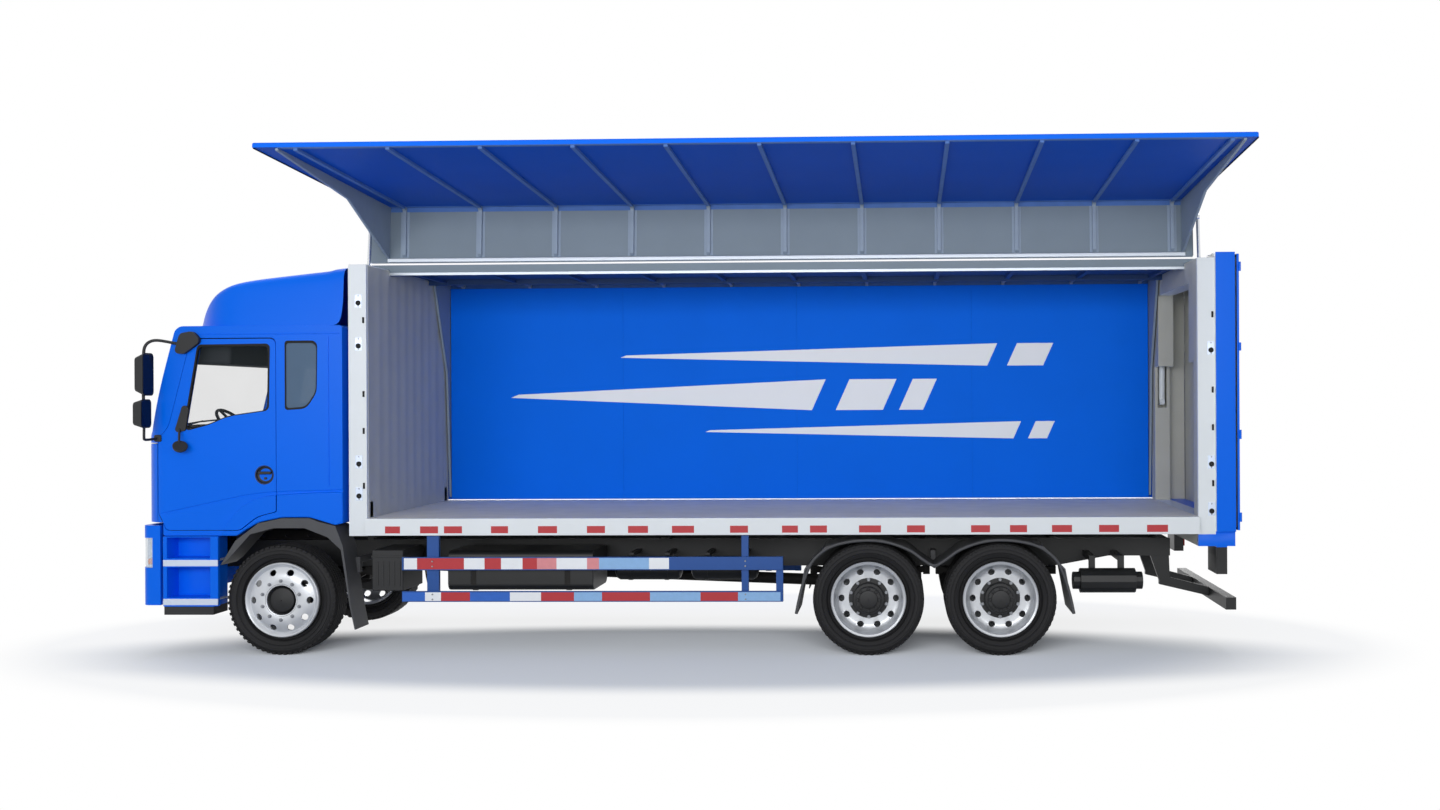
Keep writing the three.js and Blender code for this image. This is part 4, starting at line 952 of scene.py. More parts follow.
# A real weave of about 1.5 mm is drawn at 8 mm, as coarse as it needs to show through the window.
threads = [add(tree, "TexWave", {"Scale": 1000 / 8 / 6.28, "bands_direction": way}, {"Vector": place})
    for way in ("X", "Y", "Z")]
plied = add(tree, "Math", {"operation": "ADD"}, {0: threads[0].outputs["Fac"], 1: threads[1].outputs["Fac"]})
woven = add(tree, "Math", {"operation": "ADD"}, {0: plied.outputs[0], 1: threads[2].outputs["Fac"]})
tint = add(tree, "MapRange", {"From Max": 3, "To Min": 0.7, "To Max": 1.25}, {"Value": woven.outputs[0]})
dyed = add(tree, "VectorMath", {"operation": "MULTIPLY", 0: srgb("3A3F47")[:3]}, {1: tint.outputs["Result"]})
raised = add(tree, "Bump", {"Strength": 0.5, "Distance": 0.0012}, {"Height": woven.outputs[0]})
cloth = add(tree, "BsdfPrincipled", {"Roughness": 0.92, "Sheen Weight": 0.25, "Specular IOR Level": 0.2},
    {"Base Color": dyed.outputs[0], "Normal": raised.outputs["Normal"]})
tree.links.new(cloth.outputs[0], output.inputs["Surface"])


def stuffed(piece, cap, voxel=0.016):
    """The piece filled like a cushion: remeshed, then blown up by cloth pressure by no more than cap."""
    worked(piece, "REMESH", mode="VOXEL", voxel_size=voxel)
    start = [vertex.co.copy() for vertex in piece.data.vertices]
    pick(piece)
    bpy.ops.object.modifier_add(type="CLOTH")
    modifier = piece.modifiers[-1]
    modifier.settings.use_pressure = True
    modifier.settings.uniform_pressure_force = 4
    modifier.settings.effector_weights.gravity = 0
    for step in range(1, 21):
        scene.frame_set(step)
    bpy.ops.object.modifier_apply(modifier=modifier.name)
    scene.frame_set(1)
    for vertex, before in zip(piece.data.vertices, start):
        moved = vertex.co - before
        if moved.length > cap:
            vertex.co = before + moved.normalized() * cap
    return piece


def channelled(piece, lines, axis, depth, facing):
    """Sewn channels: the skin that faces a way is drawn in along planes across an axis."""
    for vertex in piece.data.vertices:
        if vertex.normal.dot(facing) > 0.5:
            near = min(abs(vertex.co[axis] - line) for line in lines)
            vertex.co -= facing * depth * math.exp(-(near / 0.012) ** 2)
    worked(piece, "SUBSURF", levels=1, render_levels=1)
    return smooth(piece, 60)


SEAT_Z = 1.715                   # underside of the cushions
seat_y = MIDDLE - 0.600
cushion = slab("seat_cushion_left", (NOSE + 0.800, seat_y - 0.245, SEAT_Z + 0.012),
    (NOSE + 1.255, seat_y + 0.245, SEAT_Z + 0.120), 0.045, 4)
back = sheet("seat_back_left", [rounded(along([(1.235, 1.835, 0.04), (1.335, 1.835, 0.04),
    (1.425, 2.380, 0.045), (1.325, 2.380, 0.045)]), 6)], "Y", seat_y - 0.235, seat_y + 0.235)
bevelled(back, 0.030, 3, 60)
head = sheet("seat_head_left", [rounded(along([(1.345, 2.425, 0.035), (1.430, 2.425, 0.035),
    (1.455, 2.540, 0.04), (1.370, 2.540, 0.04)]), 6)], "Y", seat_y - 0.120, seat_y + 0.120)
bevelled(head, 0.025, 3, 60)
for part, cap in ((cushion, 0.014), (back, 0.014), (head, 0.010)):
    stuffed(part, cap)
channelled(cushion, (seat_y - 0.12, seat_y + 0.12), 1, 0.010, Vector((0, 0, 1)))
channelled(back, (seat_y - 0.11, seat_y + 0.11), 1, 0.010, Vector((-0.986, 0, 0.163)))
channelled(head, (seat_y,), 1, 0.004, Vector((-0.986, 0, 0.163)))
for part in (cushion, back, head):
    right = copied(part, part.name.replace("left", "right"), ACROSS)
    for piece in (part, right):
        finish(piece, seat_cloth, "chassis", flat=False)

risers = []
for y in (seat_y, 2 * MIDDLE - seat_y):
    risers.append(
        slab("seat_riser", (NOSE + 0.875, y - 0.19, 1.31), (NOSE + 1.175, y + 0.19, 1.69), 0.030, 3))
    risers.append(
        slab("seat_pan", (NOSE + 0.800, y - 0.24, 1.688), (NOSE + 1.275, y + 0.24, 1.716), 0.012, 3))
    risers.append(sheet("seat_shell", [rounded(along([(1.240, 1.70, 0.02), (1.335, 1.70, 0.02),
        (1.460, 2.36, 0.02), (1.436, 2.36, 0.01), (1.345, 1.83, 0.02), (1.240, 1.73, 0.02)]), 4)], "Y",
        y - 0.20, y + 0.20, 0.003))
    for side in (-0.06, 0.06):
        risers.append(slab("head_rod", (NOSE + 1.385, y + side - 0.006, 2.36),
            (NOSE + 1.397, y + side + 0.006, 2.45), 0.005, 3))
cover = nose_slab("engine_cover", (0.895, -0.385, 1.29), (1.395, 0.385, 1.469), 0.045, 4)
finish(joined("seat_frames", [*risers, cover]), cab_lining, "chassis", ["seats"])

# ---------------------------------------------------------------- bumper
# Pressed steel bumper wrapped round the corners, painted with the cab: openings for the headlamps and fog
# lamps, a cooling slot and a blank plate's holder. Two stays carry it from the frame.
BUMPER_FOOT, BUMPER_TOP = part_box("bumper")[0].z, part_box("bumper")[1].z


def wrapped(name, inset, foot, top, rear=0.198, corner=0.190):
    """A block with rounded front corners, drawn in by an inset."""
    half = CAB_HALF - inset
    plan = rounded([(NOSE + inset, MIDDLE - half, corner - inset), (NOSE + rear, MIDDLE - half, 0),
        (NOSE + rear, MIDDLE + half, 0), (NOSE + inset, MIDDLE + half, corner - inset)], 16)
    return sheet(name, [plan], "Z", foot, top)


def face_outline(points, steps=5):
    """Corners (y from the middle, z, radius) seen from the front."""
    return rounded([(MIDDLE + y, z, radius) for y, z, radius in points], steps)


LAMP = [(0.800, 0.905, 0.05), (1.30, 0.880, 0), (1.30, 1.190, 0), (0.860, 1.165, 0.05)]
bumper = wrapped("bumper_skin", 0.0, BUMPER_FOOT, BUMPER_TOP)
bevelled(bumper, 0.030, 4, 60)
merged_flats(bumper, 0.5)
cut_by(bumper, wrapped("bumper_inside", 0.045, BUMPER_FOOT - 0.01, BUMPER_TOP + 0.01, rear=0.25))
lamps = {}
for name, side in SIDES:
    outline = face_outline([(side * y, z, radius) for y, z, radius in LAMP][::int(-side)])
    hole = sheet("lamp_hole", [outline], "X", NOSE - 0.02, NOSE + 0.118)
    lamps[name] = copied(hole, "headlamp_lens_" + name)
    cut_by(bumper, hole)
cut_by(bumper, sheet("cooling_slot", [face_outline([(-0.70, 0.90, 0.04), (0.70, 0.90, 0.04),
    (0.66, 1.12, 0.04), (-0.66, 1.12, 0.04)])], "X", NOSE - 0.02, NOSE + 0.07))
for side in (-1, 1):
    near, far = sorted((side * 0.72, side * 1.02))
    cut_by(bumper, sheet("fog_hole", [face_outline([(near, 0.635, 0.05), (far, 0.635, 0.05),
        (far, 0.775, 0.05), (near, 0.775, 0.05)])], "X", NOSE - 0.02, NOSE + 0.07))
softened(bumper, 0.004)
stays = [slab("bumper_stay", (NOSE + 0.04, MIDDLE + y - 0.03, 0.88),
    (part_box("bumper")[1].x, MIDDLE + y + 0.03, 1.00), 0.004) for y in (-0.39, 0.39)]
for stay in stays:
    painted(stay, chassis_black)
painted(bumper, azure_paint)
finish(joined("bumper_skin", [bumper, *stays]), None, "chassis", ["bumper"])

slats = [nose_slab("slot_back", (0.050, -0.72, 0.885), (0.056, 0.72, 1.135), 0.002)]
for i in range(5):
    z = 0.925 + 0.042 * i
    slats.append(nose_slab("slat", (0.016, -0.71, z), (0.046, 0.71, z + 0.012), 0.004))
for y in (-0.40, 0, 0.40):
    slats.append(nose_slab("slat_post", (0.020, y - 0.008, 0.895), (0.048, y + 0.008, 1.125), 0.003))
plate = nose_slab("plate_holder", (0.004, -0.235, 0.655), (0.020, 0.235, 0.805), 0.004)
finish(joined("bumper_slats", [*slats, plate]), moulded_black, "chassis")
# The number plate stays blank.
plate_enamel = coated("blank_plate_enamel", "D9B23A", 0.4, mottle=0.03, mottle_mm=100)
finish(nose_slab("front_plate", (0.0015, -0.22, 0.66), (0.0045, 0.22, 0.80), 0.001), plate_enamel, "chassis")

# ---------------------------------------------------------------- headlamps
# Clear polycarbonate lenses that wrap round the corners, over a silvered housing with two round projectors
# and an amber direction lamp. Small round fog lamps sit below.
lamp_lens = tinted("clear_polycarbonate", "DDE8F2", 0.30)
silvered = coated("aluminised_reflector", "E4E8EC", 0.22, metallic=0.75, mottle=0.04, mottle_mm=40)
amber_lens = coated("amber_acrylic", "F08A1C", 0.22, mottle=0.06, mottle_mm=20)
red_lens = coated("red_acrylic", "B5161B", 0.22, mottle=0.06, mottle_mm=20)
for name, side in SIDES:
    lens = lamps[name]
    glass_block = wrapped("lens_block", 0.004, 0.80, 1.25)
    cut_by(glass_block, wrapped("lens_back", 0.010, 0.79, 1.26, rear=0.25))
    cut_by(lens, glass_block, "INTERSECT")
    finish(smooth(lens), lamp_lens, "chassis")
    bowl = wrapped("bowl", 0.030, 0.885, 1.185, rear=0.130)
    cut_by(bowl, wrapped("bowl_back", 0.034, 0.80, 1.26, rear=0.25))
    limit = nose_slab("bowl_limit", (-0.1, side * 0.795, 0.8), (0.3, side * 1.30, 1.3), 0.001, 1)
    cut_by(bowl, limit, "INTERSECT")
    painted(bowl, silvered)
    parts = [smooth(bowl)]
    for y, radius in ((0.90, 0.058), (1.04, 0.062)):
        ring = turned("projector", [(radius, -0.004), (radius, 0.012), (radius - 0.010, 0.014),
            (radius - 0.016, 0.0), (0.002, -0.006)], (0, 0, 0), 32)
        ring.data.transform(shift(NOSE + (0.030 if y < 1 else 0.045), MIDDLE + side * y, 1.035)
            @ swing(90 if y < 1 else 90 + side * 12, "Z"))
        painted(ring, silvered)
        parts.append(ring)
    amber = nose_slab("amber", (0.060, side * 1.205 - 0.012, 0.915),
        (0.120, side * 1.205 + 0.012, 0.975), 0.008, 3)
    amber.data.transform(shift(y=-side * 0.018))
    painted(amber, amber_lens)
    parts.append(amber)
    finish(joined("headlamp_" + name, parts), None, "chassis")
    fog = turned("fog_lamp_" + name,
        [(0.002, -0.030), (0.055, -0.030), (0.062, -0.022), (0.062, 0.0), (0.002, 0.004)], (0, 0, 0), 32)
    fog.data.transform(shift(NOSE + 0.050, MIDDLE + side * 0.87, 0.705) @ swing(90, "Z") @ swing(180, "X"))
    cup = nose_slab("fog_cup", (0.048, side * 0.87 - 0.16, 0.625),
        (0.056, side * 0.87 + 0.16, 0.785), 0.003)
    painted(fog, silvered)
    painted(cup, moulded_black)
    finish(joined("fog_lamp_" + name, [fog, cup]), None, "chassis")

# ---------------------------------------------------------------- front flap
# The cab's front panel is pressed steel, hinged at its top, and lifts for service. Three black louvred
# inlets are let into it, with a bright bar above them.
for z in (1.45, 1.60, 1.75):
    half = 0.86 if z < 1.7 else 0.80
    pocket = sheet("inlet", [face_outline([(-half, z, 0.04), (half, z, 0.04),
        (half - 0.02, z + 0.105, 0.04), (0.02 - half, z + 0.105, 0.04)])], "X", NOSE - 0.02, NOSE + 0.030)
    cut_by(flap, pocket)
louvres = []
for z in (1.45, 1.60, 1.75):
    half = 0.84 if z < 1.7 else 0.78
    louvres.append(nose_slab("inlet_back", (0.024, -half - 0.01, z + 0.002),
        (0.029, half + 0.01, z + 0.103), 0.001, 1))
    for i in range(3):
        louvres.append(nose_slab("louvre", (0.006, -half, z + 0.018 + 0.030 * i),
            (0.026, half, z + 0.027 + 0.030 * i), 0.003))
    for y in (-0.42, 0, 0.42):
        louvres.append(
            nose_slab("louvre_post", (0.010, y - 0.006, z + 0.006), (0.027, y + 0.006, z + 0.099), 0.002))
finish(joined("front_flap_louvres", louvres), moulded_black, "front_panel")
finish(nose_slab("badge_bar", (0.001, -0.72, 1.925), (0.012, 0.72, 1.945), 0.004), silvered, "front_panel")

# ---------------------------------------------------------------- wipers and brow
# Two black wiper arms parked along the foot of the screen, and a
# moulded sun visor with marker lamps above.
def tube(name, points, radius, sides=10, bend=0.0):
    """A round bar or pipe along a run of points; its corners are eased by a curve when bend is set."""
    bpy.ops.object.select_all(action="DESELECT")
    bpy.ops.curve.primitive_bezier_curve_add()
    drawn = bpy.context.object.data
    drawn.splines.clear()
    drawn.dimensions = "3D"
    spline = drawn.splines.new("NURBS" if bend else "POLY")
    spline.points.add(len(points) - 1)
    for point, place in zip(spline.points, points):
        point.co = (*place, 1)
    if bend:
        spline.use_endpoint_u = True
        spline.order_u = 3
        spline.resolution_u = 8
    drawn.bevel_depth, drawn.bevel_resolution, drawn.use_fill_caps = radius, max(1, sides // 4), True
    bpy.ops.object.convert(target="MESH")
    return smooth(mended(settle(bpy.context.object, name)), 50)


def on_screen(y, z, out=0.012):
    """A point in front of the leaning screen, at y from the middle."""
    lean = (SCREEN_HEAD[0] - SCREEN_FOOT[0]) / (ROOF - SCREEN_FOOT[1])
    side = max(0.0, abs(y) - (CAB_HALF - 0.26))
    back = 0.26 - math.sqrt(max(0.0, 0.26 ** 2 - side ** 2))
    return NOSE + SCREEN_FOOT[0] + (z - SCREEN_FOOT[1]) * lean + back - out, MIDDLE + y, z


wipers = []
for y, reach in ((-0.62, 0.72), (0.16, 0.72)):
    wipers.append(tube("wiper_arm", [on_screen(y, 2.262, 0.022), on_screen(y + 0.04, 2.285, 0.030),
        on_screen(y + reach * 0.6, 2.345, 0.026)], 0.008))
    wipers.append(tube("wiper_blade", [on_screen(y + 0.10, 2.318, 0.012),
        on_screen(y + reach * 0.5, 2.338, 0.010), on_screen(y + reach, 2.352, 0.012)], 0.009))
    pivot = sloped("wiper_pivot", on_screen(y, 2.262, -0.004), (-0.95, 0, 0.3), 0.022, 0.030, 16)
    wipers.append(smooth(pivot))
finish(joined("wipers", wipers), moulded_black, "chassis")
brow = []
for i in range(13):
    y = -0.96 + 0.16 * i
    x = on_screen(y, 3.235, 0)[0]
    brow.append((x, MIDDLE + y))
visor = sheet("sun_visor", [[(x - 0.10, y) for x, y in brow] + [(x - 0.004, y) for x, y in reversed(brow)]],
    "Z", 3.135, 3.150, 0.004)
visor.data.transform(shift(NOSE + 0.30, 0, 3.2) @ swing(-18, "Y") @ shift(-NOSE - 0.30, 0, -3.2))
struts = [slab("visor_strut", (on_screen(y, 3.19, 0.10)[0], MIDDLE + y - 0.008, 3.155),
    (on_screen(y, 3.19, 0.0)[0], MIDDLE + y + 0.008, 3.185), 0.003) for y in (-0.8, -0.27, 0.27, 0.8)]
finish(joined("sun_visor", [visor, *struts]), moulded_black, "chassis")
for i, y in enumerate((-0.85, -0.28, 0.28, 0.85)):
    x = NOSE + 0.500 + (0.11 if abs(y) > 0.5 else 0.0)
    finish(slab(f"marker_lamp_{i}", (x, MIDDLE + y - 0.055, 3.325), (x + 0.06, MIDDLE + y + 0.055, 3.365),
        0.014, 3), amber_lens, "chassis")

# ---------------------------------------------------------------- steps
# Two-tread step housings under the doors, painted with the cab,
# with ribbed bright treads and a black foot.
bright_tread = coated("anodised_aluminium_tread", "C9D4E6", 0.36, metallic=0.45, mottle=0.05,
    mottle_mm=60, grain_mm=5)
for name, side in SIDES:
    body = painted(refined("step_" + name, azure_paint, 0.010, segments=3), moulded_black)
    split_at(body, (0, 0, 0.498), (0, 0, 1))
    for face in body.data.polygons:
        if face.center.z < 0.498 or abs(face.center.y - MIDDLE) < 0.94:
            face.material_index = 1
    skin = flank(side, 0.020)
    for z in (0.900, 0.510):
        low_x, high_x = NOSE + 0.236, NOSE + 0.795
        lip = slab("tread", (low_x, skin - side * 0.20, z + 0.052),
            (high_x, skin + side * 0.002, z + 0.066), 0.004)
        nose = slab("tread", (low_x, skin - side * 0.016, z),
            (high_x, skin + side * 0.003, z + 0.066), 0.006, 3)
        ribs = [slab("tread_rib", (low_x + 0.03 + 0.038 * i, skin - side * 0.18, z + 0.064),
            (low_x + 0.045 + 0.038 * i, skin - side * 0.03, z + 0.070), 0.002, 1) for i in range(14)]
        finish(joined(f"step_tread_{name}_{'upper' if z > 0.7 else 'lower'}", [lip, nose, *ribs]),
            bright_tread, "chassis")

# ---------------------------------------------------------------- door handles
# A round dished recess moulded in black plastic, let into the
# door, with a pull bar and a lock across it.
for name, side in SIDES:
    centre = Vector((NOSE + 1.262, flank(side), 1.814))
    punch = turned("punch", [(0.001, -0.03), (0.088, -0.03), (0.088, 0.03), (0.001, 0.03)], centre, 40)
    cut_by(doors[name], punch)
    worked(doors[name], "WEIGHTED_NORMAL", keep_sharp=True)
    dish = turned("door_handle_dish_" + name, [(r, side * a) for r, a in ((0.001, -0.034), (0.060, -0.032),
        (0.080, -0.020), (0.087, -0.001), (0.092, 0.002), (0.096, 0.002), (0.096, -0.004), (0.088, -0.006),
        (0.082, -0.024), (0.062, -0.037), (0.001, -0.039))], centre, 40)
    y = centre.y
    bar = slab("pull_bar", (centre.x - 0.066, y - side * 0.014, centre.z + 0.006),
        (centre.x + 0.066, y + side * 0.004, centre.z + 0.034), 0.008, 3)
    feet = [slab("pull_foot", (centre.x + x - 0.010, y - side * 0.032, centre.z + 0.010),
        (centre.x + x + 0.010, y - side * 0.008, centre.z + 0.030), 0.004) for x in (-0.052, 0.052)]
    lock = turned("door_lock", [(0.001, -0.036 * side), (0.013, -0.036 * side), (0.013, -0.018 * side),
        (0.001, -0.016 * side)], centre + Vector((0, 0, -0.036)), 20)
    finish(joined("door_handle_" + name, [dish, bar, *feet, lock]), moulded_black, "cab_door_" + name)

# ---------------------------------------------------------------- mirrors
# Two heads in black plastic on one bent arm at each front corner, silvered on the side towards the driver,
# and a small round kerb mirror under a sail on the door's front corner.
silvered_glass = coated("silvered_mirror_glass", "24282E", 0.06, metallic=0.9, mottle=0.02, mottle_mm=200,
    grain_mm=60, grain=0.01)
MIRROR_Y = CAB_HALF + 0.180        # middle of the heads, outwards
for name, side in SIDES:
    y = MIDDLE + side * MIRROR_Y
    parts = []
    for x, z0, z1, half in ((0.165, 2.612, 3.036, 0.098), (0.143, 2.292, 2.578, 0.092)):
        outline = rounded(
            [(y - half, z0, 0.045), (y + half, z0, 0.045), (y + half, z1, 0.045), (y - half, z1, 0.045)], 8)
        head = sheet("mirror_head", [outline], "X", NOSE + x - 0.070, NOSE + x + 0.022)
        for vertex in head.data.vertices:
            if vertex.co.x < NOSE + x - 0.05:
                middle = Vector((vertex.co.x, y, (z0 + z1) / 2))
                vertex.co = middle + (vertex.co - middle) * 0.80
        bevelled(head, 0.022, 4, 40)
        parts.append(painted(smooth(head, 40), moulded_black))
        parts.append(painted(sheet("mirror_glass", [grown(outline, -0.016)], "X", NOSE + x + 0.0225,
            NOSE + x + 0.0245, 0.0005), silvered_glass))
    inner = flank(side, -0.010)
    arm = tube("mirror_arm", [(NOSE + 0.150, y, 2.30), (NOSE + 0.135, y, 2.58), (NOSE + 0.140, y, 3.00),
        (NOSE + 0.150, y, 3.110), (NOSE + 0.215, y - side * 0.02, 3.165),
        (NOSE + 0.300, y - side * 0.08, 3.160), (NOSE + 0.440, inner, 3.120)], 0.015, 12, bend=1)
    foot = tube("mirror_foot", [(NOSE + 0.145, y, 2.34), (NOSE + 0.140, y, 2.20),
        (NOSE + 0.130, y - side * 0.03, 2.165), (NOSE + 0.170, inner, 2.185)], 0.013, 12, bend=1)
    mount = sheet("mirror_mount", [rounded(along([(0.372, 3.036, 0.04), (0.470, 3.030, 0.05),
        (0.650, 3.160, 0.05), (0.560, 3.258, 0.06), (0.430, 3.236, 0.06)]), 6)], "Y", flank(side, -0.012),
        flank(side, 0.050))
    bevelled(mount, 0.024, 4, 50)
    smooth(mount, 40)
    foot_mount = slab("mirror_foot_mount", (NOSE + 0.140, inner - 0.02, 2.150),
        (NOSE + 0.215, inner + 0.02, 2.220), 0.014, 3)
    for part in (arm, foot, mount, foot_mount):
        painted(part, moulded_black)
    finish(joined("mirror_heads_" + name, [*parts, arm, foot, mount, foot_mount]), None, "chassis",
        ["mirror_" + name])

    # kerb mirror, which goes with the door
    skin = flank(side)
    sail = sheet("kerb_sail", [rounded(along([(0.352, 2.235, 0.03), (0.470, 2.262, 0.03),
        (0.505, 2.500, 0.05), (0.440, 2.520, 0.03)]), 5)], "Y", skin - side * 0.004, skin + side * 0.020)
    bevelled(sail, 0.008, 3, 50)
    stalk = tube("kerb_stalk", [(NOSE + 0.41, skin + side * 0.006, 2.29),
        (NOSE + 0.42, skin + side * 0.05, 2.23), (NOSE + 0.435, skin + side * 0.07, 2.14)],
        0.011, 10, bend=1)
    bowl = turned("kerb_bowl", [(0.001, 0.030), (0.030, 0.028), (0.052, 0.018), (0.066, -0.002),
        (0.070, -0.022), (0.066, -0.026), (0.001, -0.022)], (0, 0, 0), 32)
    bowl.data.transform(shift(NOSE + 0.445, skin + side * 0.075, 2.095) @ swing(-35 * side, "Z")
        @ swing(140, "X") @ Matrix.Scale(side, 4, (0, 1, 0)))
    mended(bowl)
    finish(joined("kerb_mirror_" + name, [smooth(sail), stalk, smooth(bowl)]), moulded_black,
        "cab_door_" + name)

# ---------------------------------------------------------------- seams and gutters
# A gutter is folded along each edge of the roof, and a seam runs down each back corner, where the side and
# rear panels are welded. Both are painted with the cab.
for name, side in SIDES:
    inner, outer = flank(side, -0.004), flank(side, 0.006)
    gutter = slab("gutter", (NOSE + 0.60, inner, 3.222), (CAB_REAR - 0.03, outer, 3.232), 0.003)
    seam = slab("corner_seam", (CAB_REAR - 0.142, inner, 1.70), (CAB_REAR - 0.134, outer, 3.20), 0.003)
    finish(joined("cab_seams_" + name, [gutter, seam]), azure_paint, "chassis")

# ---------------------------------------------------------------- box floor
# Deck of painted planks on thirteen cross bearers, edged by a white pressed rail along each side. Red
# reflective marks are stuck along the rails.
box_white = coated("white_body_enamel", "E9EEF0", 0.38, specular=0.4, mottle=0.04, mottle_mm=420,
    grain_mm=4, grain=0.03)
deck_paint = coated("grey_deck_paint", "FAF5E6", 0.62, specular=0.35, mottle=0.12, mottle_mm=260,
    grain_mm=7, grain=0.09)
# Reflective sheeting is a film of glass beads: flat and bright, with a fine sparkle.
tape_red = coated("red_reflective_sheeting", "B8262E", 0.42, mottle=0.06, mottle_mm=60,
    grain_mm=4, grain=0.10)
tape_white = coated("white_reflective_sheeting", "F2F5F8", 0.42, mottle=0.04, mottle_mm=60,
    grain_mm=4, grain=0.10)

deck_low, deck_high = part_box("box_floor")
DECK = 1.375
for name, side in SIDES:
    outer = MIDDLE + side * 1.250
    profile = rounded([(outer, 1.205, 0.004), (outer, DECK, 0.006), (outer - side * 0.060, DECK, 0.003),
        (outer - side * 0.060, 1.300, 0.003), (outer - side * 0.012, 1.290, 0.010),
        (outer - side * 0.010, 1.225, 0.008), (outer - side * 0.045, 1.216, 0.004),
        (outer - side * 0.045, 1.205, 0.002)][::int(-side)], 3)
    rail = sheet("deck_rail_" + name, [profile], "X", deck_low.x, deck_high.x)
    beads = [slab("rail_bead", (deck_low.x, outer - side * 0.003, z),
        (deck_high.x, outer + side * 0.0004, z + 0.006), 0.002, 1) for z in (1.312, 1.212)]
    finish(smooth(joined("deck_rail_" + name, [rail, *beads])), box_white, "chassis",
        ["box_floor"])

planks = []
width = 2.38 / 14
for i in range(14):
    y = MIDDLE - 1.19 + i * width
    planks.append(slab("plank", (deck_low.x, y + 0.001, DECK - 0.030),
        (deck_high.x, y + width - 0.001, DECK), 0.003, 2))
finish(joined("deck_planks", planks), deck_paint, "chassis")
bearers = []
pitch = (deck_high.x - deck_low.x - 0.120) / 12
for i in range(13):
    x = deck_low.x + 0.060 + i * pitch
    shape = rounded([(x - 0.030, 1.215, 0.004), (x + 0.030, 1.215, 0.004), (x + 0.030, 1.223, 0.002),
        (x - 0.022, 1.223, 0.006), (x - 0.022, 1.337, 0.006), (x + 0.030, 1.337, 0.002),
        (x + 0.030, 1.3445, 0.004), (x - 0.030, 1.3445, 0.004)], 2)
    bearers.append(sheet("bearer", [shape], "Y", MIDDLE - 1.204, MIDDLE + 1.204))
rails_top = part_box("chassis_frame")[1].z
for side in (-1, 1):
    bearers.append(slab("sill", (deck_low.x, MIDDLE + side * 0.352, rails_top + 0.0005),
        (deck_high.x, MIDDLE + side * 0.430, 1.3445), 0.003, 1))
finish(smooth(joined("deck_bearers", bearers)), chassis_black, "chassis")
RED_MARKS = [(2.494, 2.645), (2.847, 3.028), (3.088, 3.269), (3.560, 3.731), (4.031, 4.222), (4.521, 4.701),
    (4.931, 5.130), (5.369, 5.588), (5.946, 6.124), (6.461, 6.619), (6.738, 6.906), (7.222, 7.439),
    (7.695, 7.872), (8.325, 8.511), (8.707, 8.874), (9.118, 9.314), (9.578, 9.773), (10.046, 10.250)]
for name, side in SIDES:
    marks = [nose_slab("mark", (a, side * 1.2502, 1.228), (b, side * 1.2510, 1.298), 0.0002, 1)
        for a, b in RED_MARKS]
    finish(joined("rail_marks_" + name, marks), tape_red, "chassis")

# ---------------------------------------------------------------- front wall
# White welded wall with grey corrugated steel on its load side. Its corner posts carry black rubber buffers
# and the latch plates that hold the closed wings.
grey_lining = coated("grey_primed_corrugated_steel", "C0C0B8", 0.50, metallic=0.05, specular=0.4,
    mottle=0.10, mottle_mm=380, grain_mm=5, grain=0.05)
refined("front_wall", box_white, 0.006, segments=2)
WALL_LOW, WALL_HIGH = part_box("front_wall")
POST = (WALL_HIGH.y - WALL_LOW.y) / 2


def corrugated(name, x, out, half, low_z, high_z, pitch=0.230):
    """Sheet pressed into upright flutes: it stands off a wall at x by up to out, towards its sign."""
    outline = []
    count = round(2 * half / pitch)
    step = 2 * half / count
    for i in range(count):
        y = MIDDLE - half + i * step
        outline += [(x + out * 0.25, y), (x + out * 0.25, y + step * 0.40), (x + out, y + step * 0.50),
            (x + out, y + step * 0.90)]
    outline.append((x + out * 0.25, MIDDLE + half))
    back = [(x, MIDDLE + half), (x, MIDDLE - half)]
    panel = sheet(name, [[*outline, *back]], "Z", low_z, high_z)
    return smooth(panel, 20)


lining = corrugated("front_wall_lining", WALL_HIGH.x + 0.0006, 0.009, 1.045, DECK + 0.002,
    WALL_HIGH.z - 0.01)
kick = slab("kick_plate", (WALL_HIGH.x, MIDDLE - 1.12, DECK + 0.002),
    (WALL_HIGH.x + 0.004, MIDDLE + 1.12, DECK + 0.16), 0.001)
sides = [slab("post_lining", (WALL_HIGH.x, MIDDLE + side * 1.045, DECK + 0.002),
    (WALL_HIGH.x + 0.004, MIDDLE + side * 1.150, WALL_HIGH.z - 0.01), 0.001) for side in (-1, 1)]
finish(joined("front_wall_lining", [lining, kick, *sides]), grey_lining, "chassis")

